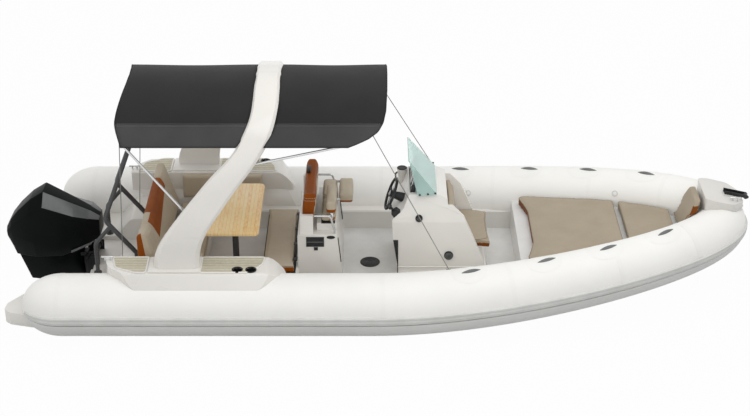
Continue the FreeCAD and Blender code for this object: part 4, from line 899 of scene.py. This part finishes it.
tint(aft_back, cognac_back, plane_y(-0.30), plane_y(0.47), plane_z(0.895), plane_z(0.55),
     ((0, -0.52, 0.925), (0, 0.265, 0.12)), ((0, -0.40, 0.66), (0, -0.16, 1)), plane_y(-0.765),
     ((-2.26, 0, 0.46), (1, 0, 0.12)))
tint(bench, lambda p, n: p.y < -0.60 and p.z < 0.425 and n.z < 0.6, plane_z(0.425))
tint(helm_back, lambda p, n: n.x > 0.45 and p.z < 1.08 and abs(p.y) < 0.40)
tint(helm_seat, lambda p, n: p.y < -0.385 and p.z - 0.6 * p.x < 1.135, plane_y(-0.385),
     ((0, 0, 1.135), (-0.6, 0, 1)))
tint(bolster_p, lambda p, n: p.z < 0.862, plane_z(0.862))
tint(bolster_s, lambda p, n: p.z < 0.985 and p.y < -0.36, plane_z(0.985), plane_y(-0.36))
tint(console_pad, lambda p, n: p.z < 0.545 and p.x > 0.95 and n.z < 0.5)
tint(bow_aft, lambda p, n: (n.z < 0.55 and p.x < 1.70
                            or n.z < 0.4 and p.z < 0.50 + 0.057 * (p.x - 1.53) and p.y < 0))
tint(bow_fore, lambda p, n: n.z < 0.4 and p.z < 0.56 + 0.057 * (p.x - 2.56) and p.y < 0)
tint(bow_back, lambda p, n: n.y < -0.35 and p.z < 0.90)


def seam(obj, name, point, normal):
    """A sewn seam: the cover drawn in, with a row of stitches on each side."""
    groove(obj, point, normal)
    beside = Vector(normal).normalized() * 0.014
    rows = [cut_line(obj, Vector(point) + beside * side, normal, lift=0.0006) for side in (-1, 1)]
    grown(name, STITCHES, joined(rows), STITCH)


for name, pad, spots in (("lounge", lounge, (-0.26, 0.26)), ("aft_back", aft_back, (-0.535, 0.48))):
    for i, y in enumerate(spots):
        seam(pad, "%s_stitches_%d" % (name, i), *plane_y(y))
seam(helm_back, "helm_stitches", (-0.665, 0, 1.085), UP)
# The bow pads slope with the deck below them
pad_edge = (1.531, 0, 0.554), (-0.0573, 0, 1)
for pad, name, (point, normal), body in (
        (lounge, "lounge_welt", plane_z(0.434), "root"),
        (bench, "bench_welt", plane_z(0.434), "bench_lid"),
        (bow_aft, "pad_welt_aft", pad_edge, "root"),
        (bow_fore, "pad_welt_fore", pad_edge, "root"),
        (console_pad, "seat_welt", plane_z(0.582), "root"),
        (helm_seat, "helm_welt", plane_z(0.914), "root")):
    grown(name, WELT, cut_line(pad, point, normal), PIPING, body, Radius=0.0035, Step=0.012)

# Rigid parts that the cushions ride on. The starboard bolster stands flipped up, as in the picture
HINGE_X, HINGE_Z, ARM_THICK = -0.4375, 0.8725, 0.005
for side, body in ((1, "bolster_port"), (-1, "bolster_starboard")):
    arms = []
    for end in (-1, 1):
        y = side * 0.215 + end * 0.2045
        corners = []
        for along, up in ((-0.014, -0.014), (0.0775, -0.014), (0.0775, 0.014), (-0.014, 0.014)):
            x, z = (along, up) if side > 0 else (-up, along)
            corners.append((HINGE_X + x, y - ARM_THICK / 2, HINGE_Z + z))
        arms.append(prism(corners, (0, ARM_THICK, 0)))
        arms.append(turned([(0.0005, 0), (0.009, 0), (0.010, 0.002), (0.010, 0.010), (0.0005, 0.011)],
                           (HINGE_X, y - end * 0.007, HINGE_Z), (0, end, 0), 16))
    fitting(body + "_arms", arms, STEEL, 0.0008, body)
leaves = []
for y in (-0.480, -0.160, 0.160, 0.480):
    leaves.append(turned([(0.0005, 0), (0.0088, 0), (0.0088, 0.060), (0.0005, 0.060)],
                         (-0.800, y - 0.030, 0.450), ACROSS, 20))
    leaves.append(brick((-0.840, y - 0.030, 0.4475), (-0.800, y + 0.030, 0.4505)))
leaves.append(brick((-1.150, -0.620, 0.3552), (-0.808, 0.620, 0.362)))
fitting("bench_hinges", leaves, BLACK, 0.0006, "bench_lid")
seat_board = brick((-0.545, -0.400, 0.8185), (-0.405, 0.400, 0.828))
fitting("helm_seat_board", [seat_board], BLACK, 0.001)

# Collar fittings


def skins(name, grids, finish, thickness=0.0012, crisp=50):
    """Thin skins on both sides of the boat; each grid lists the rows of points of one port skin."""
    sources = [mesh_of(name, *loft(each, closed=False))
               for grid in grids for each in (grid, [mirrored(row) for row in grid])]
    obj = object_of(name, outwards(bpy.data.meshes.new(name), sources), [finish])
    skin = obj.modifiers.new("thickness", "SOLIDIFY")
    skin.thickness, skin.offset = thickness, 0.0
    apply_all(obj)
    smooth(obj.data, crisp)
    keep(obj, "root")


# Four handles a side: an oval patch, in degrees round the tube, with a leaf-shaped grip moulded on it
HANDLE_X = (0.938, 1.683, 2.302, 2.895)
PATCH_HALF, PATCH_REACH = 30, 0.052
GRIP_LENGTH, GRIP_WIDTH, GRIP_HEIGHT, GRIP_TURN = 0.108, 0.023, 0.024, math.radians(-8)
patches, leaves = [], []
for x in HANDLE_X:
    grid = []
    for i in range(15):
        t = -1 + 2 * i / 14
        half = PATCH_HALF * math.sqrt(max(1 - t * t, 0)) + 0.6
        station = bend_frame(x / REACH + t * PATCH_REACH)
        grid.append([around(station, 90 + half * (1 - j / 5), 0.0012) for j in range(11)])
    patches.append(grid)
    centre, outward, upward, radius = bend_frame(x / REACH)
    run = outward.cross(upward)
    run = Matrix.Rotation(GRIP_TURN, 3, "Z") @ Vector((run.x, run.y, 0)).normalized()
    square = Vector((-run.y, run.x, 0))
    crown = centre + Vector((0, 0, radius))
    slope = (bend((x + 0.1) / REACH).z - bend((x - 0.1) / REACH).z) / 0.2
    rings = []
    for i in range(17):
        t = -1 + i / 8
        wide, tall = 0.0005 + GRIP_WIDTH * (1 - t * t), 0.0005 + GRIP_HEIGHT * (1 - t * t)
        spot = crown + run * (GRIP_LENGTH * t) + Vector((0, 0, slope * GRIP_LENGTH * t - 0.002))
        rings.append([spot + square * (wide * math.cos(a)) + Vector((0, 0, tall * max(math.sin(a), -0.3)))
                      for a in np.linspace(0, 2 * math.pi, 13)[:-1]])
    for each in (rings, [mirrored(ring) for ring in rings]):
        leaves.append(mesh_of("leaf", *loft(each, caps=True)))
skins("handle_patches", patches, TAPE)
fitting("handle_leaves", leaves, RUBBER, replaced=("tube_handles",))

# Welded tapes, 44 mm wide: one where the end cap starts and four round the bend
tapes = [[[around(straight_frame(AFT + step), 6 + 4 * j, 0.001) for j in range(51)]
          for step in (-0.022, -0.008, 0.008, 0.022)]]
for share in (0.02, 0.37, 0.66, 0.87):
    tapes.append([[around(bend_frame(share + step), 6 + 3.8 * j, 0.001) for j in range(51)]
                  for step in (-0.006, -0.002, 0.002, 0.006)])
skins("seam_tapes", tapes, TAPE)

valves, caps = [], []
for share in (0.295, 0.74):
    station = bend_frame(share)
    spot = around(station, 152, -0.001)
    facing = (spot - station[0]).normalized()
    for here, way in ((spot, facing), mirrored([spot, facing])):
        valves.append(turned([(0.001, 0), (0.034, 0), (0.034, 0.004), (0.030, 0.007), (0.022, 0.007),
                              (0.021, 0.004), (0.001, 0.004)], here, way))
        caps.append(turned([(0.001, 0.004), (0.018, 0.004), (0.017, 0.010), (0.001, 0.011)], here, way))
fitting("inflation_valves", valves, CHAFE)
fitting("valve_caps", caps, TAPE)

# Side decks: rounded bed of the teak, pad under the arch, cup liners, fairings down to the cockpit wall
CUPS = [(x, y) for y in (1.175, -1.175) for x in (-1.338, -1.207)]
teak = bmesh.new()
teak.from_mesh(merged("teak_pads"))
points, lines, order = [], [], {}
for face in teak.faces:
    for edge in face.edges if face.normal.z > 0.9 else ():
        middle = (edge.verts[0].co + edge.verts[1].co) / 2
        inside = all(f.normal.z > 0.9 for f in edge.link_faces)
        if inside or min(math.hypot(middle.x - x, middle.y - y) for x, y in CUPS) < 0.062:
            continue
        for v in edge.verts:
            if v.index not in order:
                order[v.index] = len(points)
                points.append((v.co.x, v.co.y, 0.7335))
        lines.append([order[v.index] for v in edge.verts])
teak.free()
bed = mesh_of("bed", points, lines=lines)
grown("teak_bed", WELT, bed, GELCOAT, slot="gelcoat", Radius=0.010, Step=0.02)
feet = [brick((-2.205, y, 0.7295), (-1.700, y + 0.297, 0.7440)) for y in (0.935, -1.232)]
fitting("arch_seats", feet, GELCOAT, 0.006)
wells = [turned([(0.0475, 0), (0.0475, 0.058), (0.0435, 0.0585), (0.041, 0.006), (0.001, 0.005)],
                (x, y, 0.6720), UP, 36) for x, y in CUPS]
fitting("cup_wells", wells, BLACK)
rows = []
for share in np.linspace(0, 1, 9):
    z = 0.525 - 0.225 * share
    y = SPACING - math.sqrt(max((TUBE_R + 0.006) ** 2 - (z - HEIGHT) ** 2, 0))
    start, end = -2.600 + 0.215 * share, -0.955 + 0.115 * share
    rows.append([(start + (end - start) * k / 12, min(y, 0.905), z) for k in range(13)])
skins("deck_fairings", [rows], GELCOAT, 0.004, 40)

# Deck hardware: metal bodies and plastic bodies of the same CAD node
for name, node, width, finish, part in (
        ("deck_cleats", "deck_fittings", 0.0015, STEEL, lambda p: p.z > 0.745),
        ("deck_plastics", "deck_fittings", 0.0015, BLACK, lambda p: p.z <= 0.745),
        ("bow_cleat", "anchor_roller", 0.001, STEEL, lambda p: p.y < -0.1),
        ("bow_roller", "anchor_roller", 0.0015, BLACK, lambda p: p.y > -0.1)):
    softened(name, node, width, finish, part, replaced=finish is STEEL, degrees=50)
drain = [turned([(r, 0.134), (r, 0.1385), (r - 0.007, 0.1395), (r - 0.008, 0.134)], (-0.053, 0, 0), UP, 40)
         for r in (0.098, 0.066, 0.034)]
fitting("drain_rings", drain, DASH)

# Windscreen bolts
bolts = []
for x, z in ((0.452, 1.118), (0.533, 1.124), (0.606, 1.132)):
    for sign in (1, -1):
        bolts.append(turned([(0.001, 0), (0.011, 0), (0.010, 0.005), (0.006, 0.008), (0.001, 0.008)],
                            (x, sign * (0.3375 + (0.625 - x) * 0.06), z), (0, sign, 0.12), 16))
fitting("screen_bolts", bolts, BLACK)

# Dash: two dials and a screen between them, on a hood that leans forward
hood_at, hood_way, run = Vector((0.384, 0, 1.184)), Vector((-0.935, 0, 0.355)), Vector((0.355, 0, 0.935))
dials, glasses = [], []
for y in (-0.205, 0.205):
    spot = hood_at + Vector((0, y, 0)) + hood_way * 0.0015
    dials.append(turned([(0.040, -0.003), (0.044, 0), (0.044, 0.004), (0.040, 0.006), (0.037, 0.003),
                         (0.037, -0.003)], spot, hood_way, 32))
    glasses.append(turned([(0.001, 0), (0.0375, 0), (0.0375, 0.0025), (0.001, 0.003)], spot, hood_way, 32))
fitting("gauge_bezels", dials, STEEL)
low_corner = hood_at - Vector((0, 0.140, 0)) - run * 0.055 + hood_way * 0.001
width = Vector((0, 0.280, 0))
glasses.append(prism([low_corner, low_corner + width, low_corner + width + run * 0.110,
                      low_corner + run * 0.110], hood_way * 0.004))
fitting("gauge_glasses", glasses, GLASS, 0.001)

# Helm: slot in the backrest, wheel trim and the console's cup holder
fitting("backrest_slot", [brick((-0.702, 0.085, 1.140), (-0.664, 0.215, 1.1695))], BLACK, 0.003)
lean = math.radians(21)
wheel_at, wheel_axis = Vector((0.165, -0.130, 1.020)), Vector((-math.cos(lean), 0, math.sin(lean)))
upward = Vector((math.sin(lean), 0, math.cos(lean)))
sideways = upward.cross(wheel_axis)
spokes = []
for turn in (0, 120, 240):
    angle = math.radians(turn)
    ray = upward * math.cos(angle) + sideways * math.sin(angle)
    side = ray.cross(wheel_axis) * 0.009
    start, end = (wheel_at + ray * reach + wheel_axis * 0.0022 for reach in (0.034, 0.148))
    spokes.append(prism([start - side, end - side, end + side, start + side], wheel_axis * 0.0022))
spokes.append(turned([(0.001, 0.014), (0.030, 0.014), (0.027, 0.018), (0.001, 0.019)], wheel_at,
                     wheel_axis, 32))
fitting("wheel_trim", spokes, BRUSHED, 0.0006, "helm_wheel")
for name, profile in (
        ("pod_cup", [(0.041, -0.062), (0.041, 0.002), (0.038, 0.002), (0.036, -0.058), (0.001, -0.059)]),
        ("pod_ring", [(0.039, -0.002), (0.052, -0.002), (0.052, 0.003), (0.049, 0.005), (0.040, 0.005),
                      (0.039, 0.003)])):
    fitting(name, [turned(profile, (0.282, 0.270, 1.110), UP, 36)], BLACK)

# Post panel: stripe, switches and the oval grab cup beside it
keys = []
for k in range(6):
    x = -0.690 + 0.0285 * k
    for z in (0.668, 0.606):
        keys.append(brick((x + 0.004, -0.4892, z), (x + 0.025, -0.4860, z + 0.030)))
stripe = brick((-0.694, -0.4878, 0.647), (-0.520, -0.4862, 0.655))
fitting("switch_stripe", [stripe], RUBBER, width=0.0004)
fitting("switch_keys", keys, DASH, width=0.0012)
angles = [2 * math.pi * k / 28 for k in range(28)]
oval = [(-0.447 + 0.043 * math.cos(a), -0.4802, 0.703 + 0.019 * math.sin(a)) for a in angles]
fitting("post_oval", [prism(oval, (0, -0.004, 0))], BLACK, width=0.0012)

# Raised lines of the console moulding: skirt above the floor and the crease up its side
skirt = cut_line(console, (0, 0, 0.318), UP, lift=0.002)
grown("console_skirt", WELT, skirt, GELCOAT, slot="gelcoat", Radius=0.0065, Step=0.02)
console_tree = tree_of(console.data)
creases = []
for sign in (-1, 1):
    run = []
    for k in range(25):
        x, z = 0.475 + 0.435 * k / 24, 1.065 - 0.165 * k / 24
        hit = console_tree.ray_cast(Vector((x, sign * 0.8, z)), Vector((0, -sign, 0)))[0]
        if hit is not None:
            run.append(hit - Vector((0, sign * 0.0012, 0)))
    creases.append(run)
cord("console_creases", creases, 0.0036, GELCOAT, "gelcoat", 0.015)
# Rings of the round vent and the lens of the lamp beside it, on the console's starboard wall
WALL_WAY = (0, -1, 0.03)
rings = [turned([(r, 0.0), (r, 0.004), (r - 0.004, 0.005), (r - 0.005, 0.0)], (0.753, -0.4325, 0.454),
                WALL_WAY, 36) for r in (0.041, 0.030, 0.019)]
fitting("vent_rings", rings, RUBBER)
lens_dome = turned([(0.001, 0.000), (0.029, 0.000), (0.026, 0.003), (0.016, 0.006), (0.001, 0.0075)],
                   (0.445, -0.4185, 0.872), WALL_WAY, 32)
fitting("lens_dome", [lens_dome], GLASS)

# Engine cover: half rings in metres, as (aft of the steering axis, half width, height)
COVER = (
    ((0.790, 0.085, 0.500), (0.790, 0.095, 0.530), (0.790, 0.100, 0.560), (0.790, 0.070, 0.600)),
    ((0.735, 0.118, 0.400), (0.735, 0.128, 0.560), (0.735, 0.135, 0.635), (0.733, 0.095, 0.705)),
    ((0.700, 0.132, 0.310), (0.655, 0.158, 0.520), (0.650, 0.165, 0.712), (0.645, 0.105, 0.812)),
    ((0.590, 0.160, 0.300), (0.590, 0.188, 0.500), (0.530, 0.190, 0.805), (0.510, 0.110, 0.940)),
    ((0.490, 0.182, 0.300), (0.500, 0.205, 0.480), (0.378, 0.206, 0.892), (0.370, 0.110, 1.027)),
    ((0.220, 0.190, 0.315), (0.210, 0.208, 0.480), (0.070, 0.210, 0.790), (0.070, 0.076, 0.866)),
    ((0.020, 0.178, 0.395), (0.000, 0.196, 0.500), (-0.080, 0.188, 0.754), (-0.080, 0.054, 0.782)),
    ((-0.180, 0.118, 0.505), (-0.180, 0.128, 0.540), (-0.180, 0.112, 0.701), (-0.180, 0.040, 0.712)))
STEER = -3.030


def whole_rings(name, halves):
    """A solid over rings whose port halves are (aft of the steering axis, half width, height)."""
    rings = []
    for half in halves:
        port = [Vector((STEER - back, side, z)) for back, side, z in half]
        rings.append(port + mirrored(reversed(port)))
    return mesh_of(name, *loft(rings, caps=True))


cover = object_of("engine_cover", whole_rings("cover", COVER), [ENGINE, ACCENT])
# The grey upper sides: faces 2 and 4 of the 8 between each pair of the foremost rings
for i in (4, 5, 6):
    for j in (2, 4):
        cover.data.polygons[i * 8 + j].material_index = 1
outwards(cover.data)
round_edges(cover, 0.008, 3, 9)
keep(cover, "outboard", ("cowl",))
apron = [[(back, side, z) for back, side in ((aft, 0.040), (aft - 0.030, wide), (0.350, half),
                                             (0.150, half * 0.8), (0.080, 0.072), (0.018, 0.018))]
         for z, aft, wide, half in ((-0.120, 0.570, 0.100, 0.130), (0.350, 0.725, 0.116, 0.172))]
fitting("engine_apron", [whole_rings("apron", apron)], ENGINE, 0.012, "outboard")
stripes = [prism([(-3.150, sign * 0.201, 0.362), (-2.935, sign * 0.176, 0.452),
                  (-2.935, sign * 0.176, 0.478), (-3.150, sign * 0.203, 0.388)], (0, sign * 0.006, 0))
           for sign in (1, -1)]
fitting("cover_stripes", stripes, ACCENT, 0.002, "outboard")
plate = brick((-3.018, -0.095, -0.170), (-2.985, 0.095, 0.165))
fitting("swivel_plate", [plate], DRIVE, 0.006, "swivel")

# Bow: grey seam round the nose moulding
nose_line = cut_line(nose, (0, 0, 0.862), UP, lambda p: p.x > 3.45, 0.0006)
grown("nose_band", WELT, nose_line, STRAKE, slot="strake", Radius=0.006, Step=0.015)

# Sunshade cloths, on an arc across the boat. Each sags a little between arch and hoop, and beyond BAND_Y
# its sides take a lighter grey canvas: painted light, where the cloth turns towards the lamps
SHADE_R, SHADE_TOP, SHADE_WIDE, BAND_Y = 1.2111, 2.287, 0.8795, 0.70
SAG, CLOTH_THICK = 0.010, 0.0018
SHADE_HALF = math.asin(SHADE_WIDE / SHADE_R)


def shade_point(x, angle, sink=0.0):
    """A point of the sunshade's arc, or below it by sink."""
    radius = SHADE_R - sink
    return Vector((x, radius * math.sin(angle), SHADE_TOP - SHADE_R + radius * math.cos(angle)))


def shade_cloth(name, node, edge, arch_side):
    """One cloth of the sunshade: rows across the boat, columns from the arch to the free edge."""
    rows = []
    for angle in (-SHADE_HALF + 2 * SHADE_HALF * i / 64 for i in range(65)):
        y = abs(SHADE_R * math.sin(angle))
        near, far = arch_side(y), edge(y)
        row = []
        for share in (j / 28 for j in range(29)):
            sag = SAG * math.sin(math.pi * share) ** 2 * math.cos(angle * 1.6)
            row.append(shade_point(near + (far - near) * share, angle, sag + 0.001))
        rows.append(row)
    mesh = mesh_of(name, *loft(rows, closed=False))
    obj = object_of(name, mesh, [CANVAS, LIT_CANVAS])
    # The sides beyond BAND_Y take the lighter canvas: painted light
    for polygon in mesh.polygons:
        polygon.material_index = int(abs(polygon.center.y) > BAND_Y)
    outwards(mesh)
    if sum(p.normal.z for p in mesh.polygons) < 0:
        mesh.flip_normals()
    thick = obj.modifiers.new("cloth", "SOLIDIFY")
    thick.thickness, thick.offset = CLOTH_THICK, -1.0
    mesh.shade_smooth()
    keep(obj, "root", (node,))
    reach = max(abs(edge(i / 100) - arch_side(i / 100)) for i in range(88))


def outline(*pairs):
    """An edge of a cloth: its place along the boat at a distance from the middle, read between pairs."""
    return lambda y: float(np.interp(abs(y), *zip(*pairs)))


fore_edge = outline((0, 0.120), (0.30, 0.118), (0.56, 0.106), (0.68, 0.080), (0.76, 0.030), (0.82, -0.070),
                    (0.86, -0.190), (0.89, -0.300))
aft_edge = outline((0, -2.430), (0.20, -2.440), (0.40, -2.466), (0.58, -2.492), (0.68, -2.500),
                   (0.76, -2.480), (0.84, -2.444), (0.89, -2.424))
arch_fore = outline((0, -0.935), (0.55, -0.935), (0.72, -0.965), (0.80, -1.0), (0.89, -1.07))
arch_aft = outline((0, -1.175), (0.55, -1.185), (0.72, -1.215), (0.80, -1.25), (0.89, -1.34))
shade_cloth("fore_cloth", "canopy_fore", fore_edge, arch_fore)
shade_cloth("aft_cloth", "canopy_aft", aft_edge, arch_aft)


def shade_line(start, end, y, sink, inset=0.0):
    """Points along a cloth at a distance from the middle, from one of its edges to the other."""
    angle = math.asin(y / SHADE_R)
    return [shade_point(x, angle, sink) for x in np.linspace(start(y) + inset, end(y) - inset, 12)]


spans = ((arch_fore, fore_edge), (aft_edge, arch_aft))
# A hem lies 1.6 mm below the arc, and 1 mm in from a cloth's side
HEM_SINK, HEM_Y = 0.0016, SHADE_WIDE - 0.001
hems = [[shade_point(edge(SHADE_R * math.sin(a)), a, HEM_SINK)
         for a in np.linspace(-SHADE_HALF, SHADE_HALF, 65)]
        for edge in (fore_edge, aft_edge, arch_fore, arch_aft)]
hems += [shade_line(start, end, y, HEM_SINK) for start, end in spans for y in (-HEM_Y, HEM_Y)]
cord("shade_hems", hems, 0.0035, CANVAS, "canopy", 0.02)
seams = [path_of(shade_line(start, end, y, -0.0004, 0.03)) for start, end in spans
         for y in (-0.71, -0.69, 0.69, 0.71)]
grown("shade_stitches", STITCHES, joined(seams), WEBBING, slot="canopy", Spacing=0.018, Length=0.010,
      Thickness=0.0014)

# Floor and background: white in the picture, with the boat's own soft shadow


def emptied(block):
    """The emptied node tree of a material or a world, and the kinds of ray that meet it."""
    block.use_nodes = True
    block.node_tree.nodes.clear()
    return block.node_tree, add(block.node_tree, "ShaderNodeLightPath").outputs


paper = bpy.data.materials.new("white_paper")
tree, rays = emptied(paper)
matt = add(tree, "ShaderNodeBsdfDiffuse", {"Color": linear("BEBEBE")})
white = add(tree, "ShaderNodeEmission", {"Color": (1, 1, 1, 1), "Strength": 1.0})
seen = maths(tree, "MAXIMUM", rays["Is Camera Ray"], rays["Is Glossy Ray"])
seen = maths(tree, "MAXIMUM", seen, rays["Is Transmission Ray"])
# The paper's own white hides all but a trace of the shadow on it
both = add(tree, "ShaderNodeMixShader", {0: maths(tree, "MULTIPLY", seen, 0.975), 1: matt.outputs["BSDF"],
                                         2: white.outputs["Emission"]})
add(tree, "ShaderNodeOutputMaterial", {"Surface": both.outputs["Shader"]})
corners = [(-60, -60, 0), (60, -60, 0), (60, 60, 0), (-60, 60, 0)]
object_of("waterline_floor", mesh_of("waterline_floor", corners, [(0, 1, 2, 3)]), [paper])

scene.world = bpy.data.worlds.new("studio")
tree, rays = emptied(scene.world)
seen = maths(tree, "MAXIMUM", rays["Is Camera Ray"], rays["Is Transmission Ray"])
level = add(tree, "ShaderNodeMapRange", {"Value": seen, "To Min": 0.82, "To Max": 1.0})
sky = add(tree, "ShaderNodeBackground", {"Color": (1, 1, 1, 1), "Strength": level.outputs["Result"]})
add(tree, "ShaderNodeOutputWorld", {"Surface": sky.outputs["Background"]})
